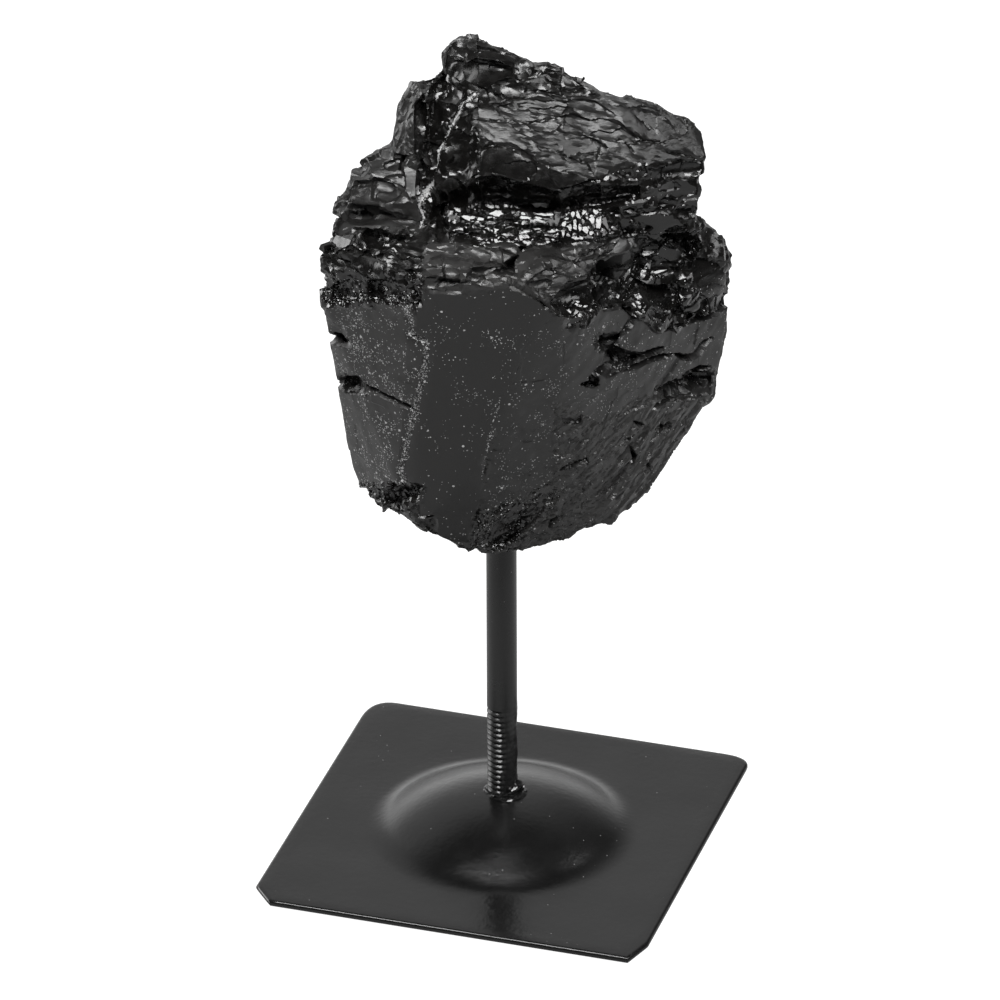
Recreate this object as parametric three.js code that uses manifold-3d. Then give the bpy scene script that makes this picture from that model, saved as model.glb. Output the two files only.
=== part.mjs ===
// Rough black tourmaline on a small steel pin stand. Millimetres, +Z up.
// The origin is on the floor under the middle of the plate. +X runs along the plate's front edge.
import * as THREE from 'three';
import { ConvexGeometry } from 'three/addons/geometries/ConvexGeometry.js';
import { mergeVertices } from 'three/addons/utils/BufferGeometryUtils.js';
import Module from 'manifold-3d';

const wasm = await Module();
wasm.setup();

// ---- driving dimensions -------------------------------------------------------------------------
const PLATE_SIDE = 85;
const SHEET = 1.5; // thickness of the plate's steel
const LIP_ROUND = 0.7; // rounding of the plate's upper edge
// corner cuts: [along the front or back edge, along the side edge]
const CORNER_FRONT_LEFT = [4.6, 5.3];
const CORNER_FRONT_RIGHT = [2.2, 7.0];
const CORNER_BACK_RIGHT = [5.5, 3.9];
const CORNER_BACK_LEFT = [5.5, 7.7];

const CROWN_RADIUS = 41; // curvature of the dome's top
const FLANK_ANGLE = THREE.MathUtils.degToRad(34);
const FLANK_LENGTH = 1.2;
const FOOT_FILLET = 9;
const LAND_RADIUS = 4; // small flat on the dome that carries the rod

const ROD_DIAMETER = 6.35; // 1/4 inch
const THREAD_PITCH = 1.27; // 20 turns to the inch
const THREAD_DEPTH = 0.62;
const THREAD_TURNS = 16;
const THREAD_PROUD = 0.05; // how far its crests stand out from the plain rod
const THREAD_START = 0.4; // above the rod's foot
const THREAD_RUN_OUT = 0.5;
const ROD_CHAMFER = 0.6;
const ROD_IN_STONE = 26;
const CLEARANCE = 0.3;

const STONE_FOOT = 74; // height of the stone's underside beside the rod
const STONE_TURN = THREE.MathUtils.degToRad(17.25); // the stone's broad front, against the plate's

// ---- helpers ------------------------------------------------------------------------------------
function solid(geometry) {
  const bare = geometry.clone();
  bare.deleteAttribute('normal');
  bare.deleteAttribute('uv');
  const merged = mergeVertices(bare, 1e-4);
  return new wasm.Manifold(new wasm.Mesh({
    numProp: 3,
    vertProperties: new Float32Array(merged.attributes.position.array),
    triVerts: new Uint32Array(merged.index.array),
  }));
}

function geometryOf(body) {
  const mesh = body.getMesh();
  const geometry = new THREE.BufferGeometry();
  geometry.setAttribute('position', new THREE.BufferAttribute(mesh.vertProperties, 3));
  geometry.setIndex(new THREE.BufferAttribute(mesh.triVerts, 1));
  geometry.computeVertexNormals();
  return geometry;
}

function lathe(profile, segments) {
  const geometry = new THREE.LatheGeometry(profile.map(([r, z]) => new THREE.Vector2(r, z)), segments);
  return geometry.rotateX(Math.PI / 2);
}

function randomFrom(seed) {
  let state = seed >>> 0;
  return () => {
    state = (state + 0x6d2b79f5) >>> 0;
    let t = state;
    t = Math.imul(t ^ (t >>> 15), t | 1);
    t ^= t + Math.imul(t ^ (t >>> 7), t | 61);
    return ((t ^ (t >>> 14)) >>> 0) / 4294967296;
  };
}

function steel(name, geometry, colour, roughness) {
  const material = new THREE.MeshStandardMaterial({ color: colour, roughness, metalness: 0.2 });
  const mesh = new THREE.Mesh(geometry, material);
  mesh.name = name;
  return mesh;
}

// ---- base plate: a square of sheet steel with a dome pressed up in the middle ---------------------
// Radius and height of one side of the dome's wall, from the crown outwards.
function domeWall(crown, fillet, top) {
  const steps = 5;
  const points = [];
  for (let i = 0; i <= steps; i++) {
    const a = (FLANK_ANGLE * i) / steps;
    points.push([crown * Math.sin(a), top - crown * (1 - Math.cos(a))]);
  }
  const [r, z] = points[points.length - 1];
  const footR = r + FLANK_LENGTH * Math.cos(FLANK_ANGLE);
  const footZ = z - FLANK_LENGTH * Math.sin(FLANK_ANGLE);
  for (let i = 0; i <= 2; i++) {
    const a = FLANK_ANGLE * (1 - i / 2);
    points.push([
      footR + fillet * (Math.sin(FLANK_ANGLE) - Math.sin(a)),
      footZ - fillet * (Math.cos(a) - Math.cos(FLANK_ANGLE)),
    ]);
  }
  return points;
}

const DOME_RISE = CROWN_RADIUS * (1 - Math.cos(FLANK_ANGLE))
  + FLANK_LENGTH * Math.sin(FLANK_ANGLE)
  + FOOT_FILLET * (1 - Math.cos(FLANK_ANGLE));
const LAND_DROP = CROWN_RADIUS - Math.sqrt(CROWN_RADIUS ** 2 - LAND_RADIUS ** 2);
const ROD_FOOT = SHEET + DOME_RISE - LAND_DROP;

function plateOutline(inset) {
  const h = PLATE_SIDE / 2 - inset;
  const outline = new THREE.Shape();
  outline.moveTo(-h + CORNER_FRONT_LEFT[0], -h);
  outline.lineTo(h - CORNER_FRONT_RIGHT[0], -h);
  outline.lineTo(h, -h + CORNER_FRONT_RIGHT[1]);
  outline.lineTo(h, h - CORNER_BACK_RIGHT[1]);
  outline.quadraticCurveTo(h, h, h - CORNER_BACK_RIGHT[0], h);
  outline.lineTo(-h + CORNER_BACK_LEFT[0], h);
  outline.quadraticCurveTo(-h, h, -h, h - CORNER_BACK_LEFT[1]);
  outline.lineTo(-h, -h + CORNER_FRONT_LEFT[1]);
  outline.closePath();
  return outline;
}

function basePlate() {
  const sheet = new THREE.ExtrudeGeometry(plateOutline(LIP_ROUND), {
    depth: SHEET - 2 * LIP_ROUND,
    bevelThickness: LIP_ROUND,
    bevelSize: LIP_ROUND,
    bevelSegments: 2,
    curveSegments: 4,
  });
  sheet.translate(0, 0, LIP_ROUND);
  const segments = 32;
  const outer = domeWall(CROWN_RADIUS, FOOT_FILLET, SHEET + DOME_RISE);
  const outerRim = outer[outer.length - 1][0];
  const inner = domeWall(CROWN_RADIUS - SHEET, FOOT_FILLET + SHEET, DOME_RISE);
  const innerRim = inner[inner.length - 1][0];
  const dome = lathe([...outer, [outerRim, SHEET / 2], [0, SHEET / 2]].reverse(), segments);
  const hollow = lathe([...inner, [innerRim, -1], [0, -1]].reverse(), segments);
  const land = new THREE.BoxGeometry(4 * LAND_RADIUS, 4 * LAND_RADIUS, 2);
  land.translate(0, 0, ROD_FOOT + 1);
  return geometryOf(solid(sheet).add(solid(dome)).subtract(solid(hollow)).subtract(solid(land)));
}

// ---- rod: threaded at its foot, plain above -------------------------------------------------------
function rod() {
  const radius = ROD_DIAMETER / 2;
  const root = radius - THREAD_DEPTH;
  const segments = 12;
  const perTurn = 3;
  const tip = STONE_FOOT + ROD_IN_STONE;
  const crest = [root, radius + THREAD_PROUD, radius + THREAD_PROUD];
  const threadFoot = ROD_FOOT + THREAD_START;
  const threadTop = threadFoot + THREAD_PITCH * THREAD_TURNS;
  const rings = perTurn * (THREAD_TURNS + 1) + 1;
  const profile = [[0, ROD_FOOT], [root, ROD_FOOT]];
  for (let k = 0; k < rings; k++) profile.push([root, threadFoot + k]);
  profile.push([radius, threadTop + THREAD_RUN_OUT], [radius, tip - ROD_CHAMFER]);
  profile.push([radius - ROD_CHAMFER, tip], [0, tip]);
  const geometry = lathe(profile, segments);
  // wind the thread's rings into a helix, held between its two ends
  const position = geometry.attributes.position;
  for (let column = 0; column <= segments; column++) {
    const turn = column / segments;
    const angle = 2 * Math.PI * turn;
    for (let k = 0; k < rings; k++) {
      const z = threadFoot + THREAD_PITCH * (k / perTurn - 1 + turn);
      const inside = z > threadFoot + 1e-6 && z < threadTop - 1e-6;
      const r = inside ? crest[k % perTurn] : root;
      const held = Math.min(threadTop, Math.max(threadFoot, z));
      position.setXYZ(column * profile.length + 2 + k, r * Math.sin(angle), -r * Math.cos(angle), held);
    }
  }
  return geometryOf(solid(geometry));
}

// ---- weld bead: a low collar round the rod's foot that swells to a lump on one side ----------------
const BEAD_SIDE = THREE.MathUtils.degToRad(-10); // direction of the lump, from +X
const BEAD_REACH = 4.2; // outer radius of the collar
const BEAD_HEIGHT = 1;
const LUMP_REACH = 1.3; // what the lump adds
const LUMP_HEIGHT = 2.4;
const DOME_FALL = 0.11; // slope of the dome just outside its land

function weldBead() {
  const inner = ROD_DIAMETER / 2 + THREAD_PROUD + CLEARANCE;
  const floor = ROD_FOOT + CLEARANCE;
  const segments = 24;
  const section = [[0, 0], [1, 0], [1, 0.35], [0.7, 0.8], [0.3, 1], [0, 1], [0, 0]];
  const geometry = lathe(section.map(([r, z]) => [inner + r, floor + z]), segments);
  const position = geometry.attributes.position;
  for (let column = 0; column <= segments; column++) {
    const angle = (2 * Math.PI * column) / segments;
    const lump = Math.max(0, Math.cos(angle - Math.PI / 2 - BEAD_SIDE)) ** 2;
    const reach = BEAD_REACH - inner + LUMP_REACH * lump;
    const height = BEAD_HEIGHT + LUMP_HEIGHT * lump;
    for (let k = 0; k < section.length; k++) {
      const r = inner + section[k][0] * reach;
      const overLand = Math.max(0, r - LAND_RADIUS);
      const sink = (1 - section[k][1]) * overLand * DOME_FALL;
      const z = floor - sink + section[k][1] * height;
      position.setXYZ(column * section.length + k, r * Math.sin(angle), -r * Math.cos(angle), z);
    }
  }
  return geometryOf(solid(geometry));
}

// ---- the stone ------------------------------------------------------------------------------------
// Its blocks are given in its own turned frame: x to the right along its broad front, y to the back.
const block = (points) => solid(new ConvexGeometry(points.map((p) => new THREE.Vector3(...p))));

const BODY = [
  // rim of the lower body: left edge, front corner, front, right shoulder, back
  [-36.5, -14, 137.4], [-17.8, -30, 147.2], [2, -30.5, 148.6], [8, -30.5, 144.3], [12, -28.5, 139.3],
  [28.5, -11, 132], [48, 12, 124], [40, 25, 119], [28, 31, 126], [8, 34, 131], [-14, 30, 136],
  [-31, 14, 139],
  // left edge going down, then the underside from left to right
  [-35.8, -12, 132.4], [-34.3, -9, 121.3], [-32.8, -9, 110.8], [-30.7, -8, 93], [-28.7, -8, 87.3],
  [-26.4, -12, 86.9], [-23.5, -16, 86.9], [-21.3, -21.2, 96.5],
  [-17.3, -21, 87.9], [-15.9, -21, 86.6], [-12.6, -19, 82.9],
  [-8.5, -17, 79.8], [-3, -13, 75.8], [3.8, -8, 73.4], [12.1, -7, 75], [23.1, -4, 77.4],
  [29.4, 2, 80.1], [33, 5, 85.5],
  // creases of the front, right of its middle
  [0.8, -24.4, 112], [1.8, -17, 90], [12, -21.6, 115.9], [29.6, -4.7, 99.2], [12.6, -15.4, 97.5],
  // right edge going down
  [46.8, 12, 118.1], [43.8, 12, 107], [43.8, 10, 100.3], [41.7, 9, 96.8],
  // back and underside
  [-20, 14, 84], [-8, 22, 79], [10, 22, 76], [24, 16, 79], [36, 20, 96], [-28, 20, 112], [-12, 32, 106],
  [14, 34, 102],
];

const MIDDLE = [
  [-30, -12, 148], [4, -20, 149], [20, -8, 148], [38, 0, 141], [37, 18, 137], [24, 26, 144],
  [6, 29, 149], [-10, 27, 146], [-27, 17, 151], [-33, 4, 148], [-30, -8, 120], [4, -15, 120], [36, 4, 120],
  [38, 20, 120], [12, 34, 120], [-28, 20, 120],
];

// Wedges that carry the back down from the upper block to the body.
const BACK_LEFT = [
  [-22, 6, 158], [-18, 14, 164], [-6, 20, 166], [2, 27, 152], [-12, 31, 141], [-27, 22, 146], [-31, 12, 145],
  [-8, 10, 158], [-20, 20, 130], [0, 28, 130],
];

const BACK_RIGHT = [
  [18, 20, 163], [30, 17, 158], [37, 20, 143], [36, 27, 131], [22, 33, 133], [14, 31, 141], [20, 10, 156],
  [32, 12, 130], [18, 24, 125],
];

const SHELF = [
  [-35.5, -15, 139], [-35, -14, 146], [-35.2, -12, 151], [-33, -8, 152.6], [-31.5, -14, 149.6],
  [-16.8, -28, 150.2], [-16.2, -30, 147.2], [-4.7, -30.5, 148.9], [-14.2, -20, 152.1], [4, -21, 150.9],
  [4, -19, 152], [-8, -19, 152.5], [-30, 8, 152], [-30, 8, 140], [4, -10, 140], [-34, 0, 140],
];

const UPPER = [
  // the broad slanting face and the steep facets at its lower edge
  [5.6, 5, 180.3], [20.4, 1, 175.2], [29.2, 2, 173], [39.3, 5, 167.2], [41.3, 5, 164.2],
  [42.1, -1.5, 160], [29.1, -6.3, 163.7], [6.1, -10, 168.7], [0, -10.6, 168.4], [-2, -11.5, 165.4],
  [-0.6, -12.3, 164], [11.6, -12.8, 160.3], [19.7, -11, 161.7],
  // right end
  [41.4, -2, 156.7], [40.4, -2, 145.1], [30.6, -4, 143.9], [20.4, -6, 145.5],
  // face turned to the left
  [-10.7, 1, 174.8], [-6, -3, 175.8], [-6, -13, 158.5], [-15, -5, 152], [-15.2, -4, 161.2],
  [-15.1, 4, 173.1], [-19, 6, 174],
  // back
  [-24, 14, 146], [0, 28, 142], [24, 25, 140], [38, 12, 138], [34, 17, 157], [-2, 19, 172], [14, 17, 170],
];

// Glossy band between the upper block and the shelf.
const BAND = [
  [-10, -13, 158.6], [0, -12.8, 158.6], [12, -12, 157], [21, -10, 155.8], [-11, -20, 152.6],
  [4, -20.3, 151.6], [20.3, -15.8, 150.9], [24.5, -12, 149.6], [-10, 0, 158], [20, 0, 156], [-10, 0, 145],
  [24, 0, 145],
];

const PEAK = [
  [-12.2, 3, 180.3], [-12, 4, 183.6], [-10.8, 5, 185.4], [-8, 6, 185.9], [-2.5, 6, 185.3],
  [0.1, 6, 183.9], [4.8, 7, 181], [5.6, 6, 179.8], [-7, 0, 183.4], [2.2, 2, 182.3], [-10.7, 0, 175.4],
  [-7, -2, 178.7], [2.1, 0, 178.1], [-6, -3, 175.8], [10.3, 5, 178.9], [-8, 13, 181], [2, 12, 178],
  [-12, 12, 170], [8, 12, 168],
];

const RIDGE = [
  [5, 6, 180], [10.3, 4, 179.1], [15.7, 3, 178.4], [18.4, 2, 177.1], [20.4, 0, 175.5], [4, 1, 176],
  [6, 12, 176], [18, 10, 174], [12, 0, 174],
];

const COLUMN = [
  [-19.8, 4, 169.9], [-20.1, 5, 172.4], [-18.2, 6, 175.9], [-15, 6, 177.5], [-21.4, 2, 165.7],
  [-22.4, 4, 160.3], [-21.9, -3, 161.4], [-16.8, -6, 161.4], [-15.1, 0, 175.4], [-16.8, -3, 166],
  [-12, 10, 170], [-20, 14, 158], [-14, 14, 158], [-11.8, 5, 179],
];

const STEPS = [
  [-30.5, -5, 158.9], [-25.8, -3, 159.2], [-31.1, -8, 154], [-31.5, -6, 152], [-16.6, -12, 157.7],
  [-16.8, -6, 161.4], [-20.3, -2, 162.7], [-25.4, 0, 161.7], [-22, 6, 161], [-28, 8, 157],
  [-16.2, -12, 150], [-24, 12, 148], [-10, 0, 150],
];

const SHOULDER = [
  [41, 8, 142.5], [42.5, 10, 138.7], [45.8, 11, 134.3], [47.8, 12, 130], [48.1, 12, 124.5],
  [36.8, -2, 126.5], [40.9, 3, 140.1], [38, -1, 134], [44, 6, 131], [44, 18, 128], [36, 20, 138],
  [30, 10, 142], [36, 20, 120], [30, 0, 122],
];

const LOBE = [
  [10.6, -28, 143.9], [18.2, -21, 145.1], [25.8, -12, 146.7], [4, -21, 151], [20.3, -15, 150.4],
  [23.7, -12, 149.4], [2, -29, 147], [6, -26, 149], [12, -22, 150], [4, -20, 142], [18, -10, 142],
  [20, -8, 150],
];

const BLOCKS = [
  BODY, MIDDLE, BACK_LEFT, BACK_RIGHT, SHELF, UPPER, BAND, PEAK, RIDGE, COLUMN, STEPS, SHOULDER, LOBE,
];

// Pits, notches and undercuts of the front. They are sunk along a line that leans down from the front,
// so their outlines are given square to it: to the right, up the slant, and in along the line.
const LEAN = THREE.MathUtils.degToRad(29.7);
const LEAN_PIVOT = 130; // height where the slanting frame is centred
const OUTSIDE = -70; // where the pits' mouths start, clear of the stone
const PIT_FLOOR = 0.72; // size of a pit's floor against its rim

const PITS = [
  { depth: 2.4, outline: [ // notches in the left edge
    [-37.6, -6, -13], [-32.1, -7, -15], [-31.3, -8.9, -14], [-32.1, -10.2, -12.5], [-37, -11.3, -13]] },
  { depth: 2.6, outline: [
    [-36, -17, -6], [-31.4, -18.1, -6.5], [-27.5, -20.6, -8.5], [-30.8, -21, -5], [-35, -21.8, -6]] },
  { depth: 3, outline: [ // recess low on the left
    [-29.4, -40, 1], [-21.6, -39.4, 0], [-18.7, -39, -2], [-15, -40.1, -3], [-16.2, -42.1, -1.5],
    [-20.4, -44.2, 3], [-25, -43.6, 4]] },
  { depth: 1.6, outline: [ // chip in the underside
    [-6.9, -52.3, 11.5], [-1.9, -48.6, 10], [2.8, -45.7, 9.5], [11.3, -40.4, 8.5], [9.6, -43.9, 11],
    [5.9, -48.6, 14.3], [0.7, -52.7, 16.5]] },
  { depth: 3.2, outline: [ // wedge broken out of the right edge
    [31.6, -22.8, 10.5], [39.9, -17, 15.5], [44, -16.5, 19], [45, -21.5, 20], [35.3, -22.5, 15]] },
  { depth: 1.6, outline: [ // slit
    [11.5, -26.3, -8.4], [13.7, -25.8, -7.6], [16.6, -26.2, -4.9], [16.4, -27.1, -4], [13.3, -27.3, -6.1]] },
  { depth: 2.2, outline: [ // hollow on the right, with a pit beside it and one above
    [19.9, -17, -10.6], [20.9, -13.5, -10.8], [24, -12, -6.5], [28.7, -12.6, -3.1], [27.3, -14.9, -3.1],
    [23.6, -15.7, -7.1], [21.7, -18.2, -7.4]] },
  { depth: 1.2, outline: [[16.4, -19.6, -11.6], [18.4, -17.6, -9], [20.5, -17.8, -9.2], [19.5, -20, -8.1]] },
  { depth: 1.3, outline: [[21.1, -9.9, -14.4], [22.7, -8.7, -13.4], [24.8, -9, -10.5], [23.6, -10.3, -11]] },
  { depth: 4, outline: [ // crevice under the lobe
    [10.4, -2.4, -29.4], [20.3, 4.4, -18], [24.8, 7.9, -17], [28.5, 8.5, -12], [31, 5.7, -8],
    [28.5, 0, -8.5], [22.7, -3.4, -17], [17.2, -5.9, -23], [12, -5.6, -29]] },
  { depth: 4, outline: [ // gap beside the column
    [-17.2, 38.1, -21], [-15.3, 40.1, -22], [-14.7, 36.4, -23], [-15.4, 30.3, -23.5], [-16, 25.1, -22],
    [-17.4, 25.1, -21]] },
  { depth: 0.6, outline: [ // recess in the front of the peak
    [-7.6, 44.6, -26], [-4.9, 46.6, -23.6], [-0.5, 46, -22.6], [3, 44.3, -23.2], [1.1, 42.4, -25.4],
    [-2.3, 40.6, -26.2], [-6.6, 41.2, -26.2]] },
  { depth: 2.6, outline: [ // undercut below the upper block
    [-9.1, 18.9, -24], [-5, 22.5, -26], [0, 22.8, -27], [7.1, 20.6, -26], [12.2, 19.4, -25],
    [12.2, 15.7, -20], [0, 16.5, -22], [-6.1, 16.4, -20]] },
  { depth: 2.2, outline: [
    [12.2, 19.4, -25], [19.9, 21.4, -23.5], [28.5, 21.3, -20], [28.5, 18.1, -18], [20.3, 16.5, -19.5],
    [12.2, 15.7, -20]] },
  { depth: 1.6, outline: [ // groove across its right end
    [31.5, 24.5, -20], [36.6, 25.2, -18], [43, 25, -17.4], [43, 22.9, -17.4], [38.7, 22.6, -16.5],
    [32.6, 22.9, -19]] },
  { depth: 3, outline: [ // nook in the left ledges
    [-27.6, 12.1, -23], [-26, 12.3, -23], [-23.9, 10.4, -25.5], [-23.1, 7.5, -28.5], [-26, 7.9, -27.5],
    [-27.6, 10, -25]] },
  { depth: 2, outline: [ // hollow band between the ledges and the left panel
    [-37, 1.6, -23], [-32.6, 2.8, -21], [-27.4, 2.3, -25], [-27.4, -1.7, -23], [-33.7, -2.8, -17],
    [-37, -2.1, -18]] },
  { depth: 1.8, outline: [
    [-27.4, 2.3, -25], [-21.3, 3.4, -30.5], [-17.2, 1.3, -33.5], [-16.6, -1.9, -33], [-21.3, -2.6, -29],
    [-27.4, -1.7, -23.5]] },
  { depth: 1.5, outline: [ // facet of the left steps and the undercut below them
    [-26, 23.2, -19.4], [-22.7, 21.9, -21], [-20.3, 19, -22.5], [-23.1, 17.4, -21.5],
    [-26.4, 18.3, -20.5]] },
  { depth: 1.6, outline: [
    [-31.5, 17.5, -19], [-24.4, 17, -21], [-17.5, 15.3, -22], [-17.9, 13.9, -21], [-24.4, 14.8, -19.7],
    [-31.5, 15.7, -18]] },
  { depth: 2, outline: [ // crevice above the right shoulder
    [28.5, 7.7, -10.5], [34.3, 9, -7.5], [40.9, 10.7, -2], [41.8, 9.1, -1], [38.9, 5.8, -3],
    [34.3, 3.7, -4], [30.6, 2.9, -6]] },
  { depth: 1.6, outline: [ // hollow below the right shoulder
    [34.3, -1, -3], [38.9, -2.3, 1.5], [41.1, -4.7, 7], [37.7, -5.6, 4], [33.1, -4.5, -3.5],
    [31.6, -2.5, -6.5]] },
  { depth: 1.5, outline: [ // scoop left of the undercut
    [-14.6, 25.2, -25], [-11.1, 26.2, -25], [-6.1, 20.1, -25], [-5, 17.1, -22], [-8.2, 15.3, -20],
    [-13, 17.3, -20]] },
];

function slanted([right, up, inward]) {
  const y = inward * Math.cos(LEAN) + up * Math.sin(LEAN);
  const z = LEAN_PIVOT + up * Math.cos(LEAN) - inward * Math.sin(LEAN);
  return [right, y, z];
}

function pit({ depth, outline }) {
  const middle = [0, 1, 2].map((k) => outline.reduce((sum, p) => sum + p[k], 0) / outline.length);
  const mouth = outline.map(([right, up]) => slanted([right, up, OUTSIDE]));
  const rim = outline.map(slanted);
  const floor = outline.map((p) => slanted([
    middle[0] + (p[0] - middle[0]) * PIT_FLOOR,
    middle[1] + (p[1] - middle[1]) * PIT_FLOOR,
    p[2] + depth,
  ]));
  return block([...mouth, ...rim, ...floor]);
}

// A flake broken off a face: an uneven polygon, long along the grain, whose floor runs out at one side
// and ends in a small step at the other.
function flake(centre, normal, grain, size, random) {
  const n = normal.clone().normalize();
  const along = grain.clone().addScaledVector(n, -grain.dot(n)).normalize();
  const across = n.clone().cross(along);
  const sides = 5 + Math.floor(random() * 3);
  const points = [];
  const slopeAlong = (random() - 0.5) * size.tilt;
  const slopeAcross = (random() < 0.5 ? -1 : 1) * (0.4 + 0.6 * random()) * size.tilt;
  for (let i = 0; i < sides; i++) {
    const angle = (2 * Math.PI * (i + 0.7 * random())) / sides;
    const a = 0.5 * size.length * Math.cos(angle);
    const b = 0.5 * size.width * Math.sin(angle);
    const floor = -size.depth + slopeAlong * a + slopeAcross * b;
    for (const [spread, height] of [[1, floor], [1.1, size.clear]]) {
      const p = centre.clone().addScaledVector(along, a * spread).addScaledVector(across, b * spread);
      points.push(p.addScaledVector(n, height).toArray());
    }
  }
  return points;
}

// Faces of the front that broke in thin flakes: middle of the face, its normal, the grain, half sizes.
const ABOVE_FACE = 12; // height from which flakes are set down on a face
const FLAKED_FACES = [
  { at: [20, -1.5, 167], normal: [0.28, -0.665, 0.69], grain: [0.93, 0, -0.38], reach: [19, 6.5],
    count: 12, length: [9, 20], width: [3, 6], depth: [0.4, 0.9], tilt: 0.16, seed: 11 },
  { at: [-7, -25, 150.2], normal: [0, -0.42, 0.91], grain: [1, 0.1, 0], reach: [12, 4.5],
    count: 7, length: [5, 12], width: [2.5, 5], depth: [0.4, 1], tilt: 0.2, seed: 12 },
  { at: [-26, -17, 149.6], normal: [-0.1, -0.5, 0.86], grain: [0.95, -0.25, -0.2], reach: [8, 5],
    count: 8, length: [6, 14], width: [1.6, 3.5], depth: [0.5, 1.2], tilt: 0.25, seed: 13 },
  { at: [-24, -5, 157], normal: [-0.15, -0.6, 0.78], grain: [1, 0, 0], reach: [6, 5],
    count: 5, length: [4, 9], width: [2, 4], depth: [0.5, 1.1], tilt: 0.3, seed: 14 },
  { at: [31, -4, 151], normal: [0.1, -0.95, 0.25], grain: [1, 0, -0.2], reach: [10, 6],
    count: 7, length: [5, 12], width: [1.6, 3.5], depth: [0.4, 1], tilt: 0.25, seed: 15 },
  { at: [2, -16.5, 156.5], normal: [0.05, -0.7, 0.7], grain: [1, 0, 0], reach: [14, 4],
    count: 8, length: [3, 8], width: [1.5, 3], depth: [0.4, 1], tilt: 0.35, seed: 16 },
  { at: [14, -23, 147.5], normal: [0.2, -0.5, 0.84], grain: [0.9, 0.3, 0], reach: [8, 4],
    count: 5, length: [4, 9], width: [1.5, 3], depth: [0.3, 0.8], tilt: 0.25, seed: 17 },
  { at: [34, 0, 133], normal: [0.4, -0.75, 0.5], grain: [0.8, 0.5, -0.3], reach: [8, 6],
    count: 7, length: [4, 9], width: [1.8, 4], depth: [0.6, 1.4], tilt: 0.35, seed: 18 },
  { at: [29, -3.5, 99], normal: [0.715, -0.68, -0.15], grain: [0.6, 0.45, 0.66], reach: [14, 9],
    count: 8, length: [7, 18], width: [1.2, 3], depth: [0.3, 0.7], tilt: 0.15, seed: 19 },
  { at: [-33, 3, 118], normal: [-0.96, 0.2, -0.15], grain: [0.1, 0.2, 1], reach: [20, 8],
    count: 7, length: [8, 20], width: [4, 8], depth: [0.3, 0.9], tilt: 0.12, seed: 20 },
  { at: [43, 17, 112], normal: [0.9, 0.35, -0.25], grain: [-0.2, 0.1, 1], reach: [14, 6],
    count: 5, length: [8, 18], width: [3, 7], depth: [0.4, 1], tilt: 0.14, seed: 21 },
  { at: [30, 8, 163], normal: [0.35, 0.6, 0.7], grain: [0.9, -0.2, -0.3], reach: [9, 7],
    count: 6, length: [6, 14], width: [3, 6], depth: [0.4, 1.2], tilt: 0.18, seed: 22 },
  { at: [10, 21, 160], normal: [0.1, 0.85, 0.5], grain: [1, 0, -0.2], reach: [16, 8],
    count: 8, length: [9, 20], width: [4, 8], depth: [0.5, 1.6], tilt: 0.2, seed: 23 },
];

// All triangles of a body, and the one that a line meets first.
function trianglesOf(body) {
  const mesh = body.getMesh();
  const corner = (i) => new THREE.Vector3(...mesh.vertProperties.slice(3 * i, 3 * i + 3));
  const triangles = [];
  for (let t = 0; t < mesh.triVerts.length; t += 3) {
    triangles.push(new THREE.Triangle(...[0, 1, 2].map((k) => corner(mesh.triVerts[t + k]))));
  }
  return triangles;
}

function firstHit(triangles, origin, direction) {
  const ray = new THREE.Ray(origin, direction);
  let best = null;
  for (const triangle of triangles) {
    const point = ray.intersectTriangle(triangle.a, triangle.b, triangle.c, true, new THREE.Vector3());
    if (!point) continue;
    const distance = point.distanceTo(origin);
    if (!best || distance < best.distance) best = { point, distance, triangle };
  }
  return best;
}

function flakeFace(body, face) {
  const random = randomFrom(face.seed);
  const between = ([low, high]) => low + (high - low) * random();
  const normal = new THREE.Vector3(...face.normal).normalize();
  const grain = new THREE.Vector3(...face.grain);
  grain.addScaledVector(normal, -grain.dot(normal)).normalize();
  const across = normal.clone().cross(grain);
  const inward = normal.clone().negate();
  const triangles = trianglesOf(body);
  const cuts = [];
  for (let i = 0; i < face.count; i++) {
    const above = new THREE.Vector3(...face.at)
      .addScaledVector(grain, (2 * random() - 1) * face.reach[0])
      .addScaledVector(across, (2 * random() - 1) * face.reach[1])
      .addScaledVector(normal, ABOVE_FACE);
    const size = {
      length: between(face.length),
      width: between(face.width),
      depth: between(face.depth),
      tilt: face.tilt,
      clear: 2.5,
    };
    const hit = firstHit(triangles, above, inward);
    if (!hit) continue;
    const own = hit.triangle.getNormal(new THREE.Vector3());
    cuts.push(block(flake(hit.point, own, grain, size, random)));
  }
  return cuts.reduce((left, cut) => left.subtract(cut), body);
}

// Coarser breaks on the sides, back and underside, spread over the faces by their area.
const BREAKS = { tries: 52, seed: 5, length: [8, 26], width: [5, 14], depth: [0.5, 2.4], tilt: 0.18 };
// the outline seen from the front lies near this slanting plane, and the breaks stay behind it
const OUTLINE = { inward: 6, perRight: 0.25, perUp: -0.45 };
const GRAIN = new THREE.Vector3(0.1, 0.15, 1);
const GRAIN_SHARE = 0.6; // share of the breaks that follow the grain
const ROUND_ROD = { radius: 5, below: 105 }; // the underside stays whole close to the rod

function behindOutline([x, y, z]) {
  const inward = y * Math.cos(LEAN) - (z - LEAN_PIVOT) * Math.sin(LEAN);
  const up = (z - LEAN_PIVOT) * Math.cos(LEAN) + y * Math.sin(LEAN);
  return inward > OUTLINE.inward + OUTLINE.perRight * x + OUTLINE.perUp * up;
}

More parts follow.
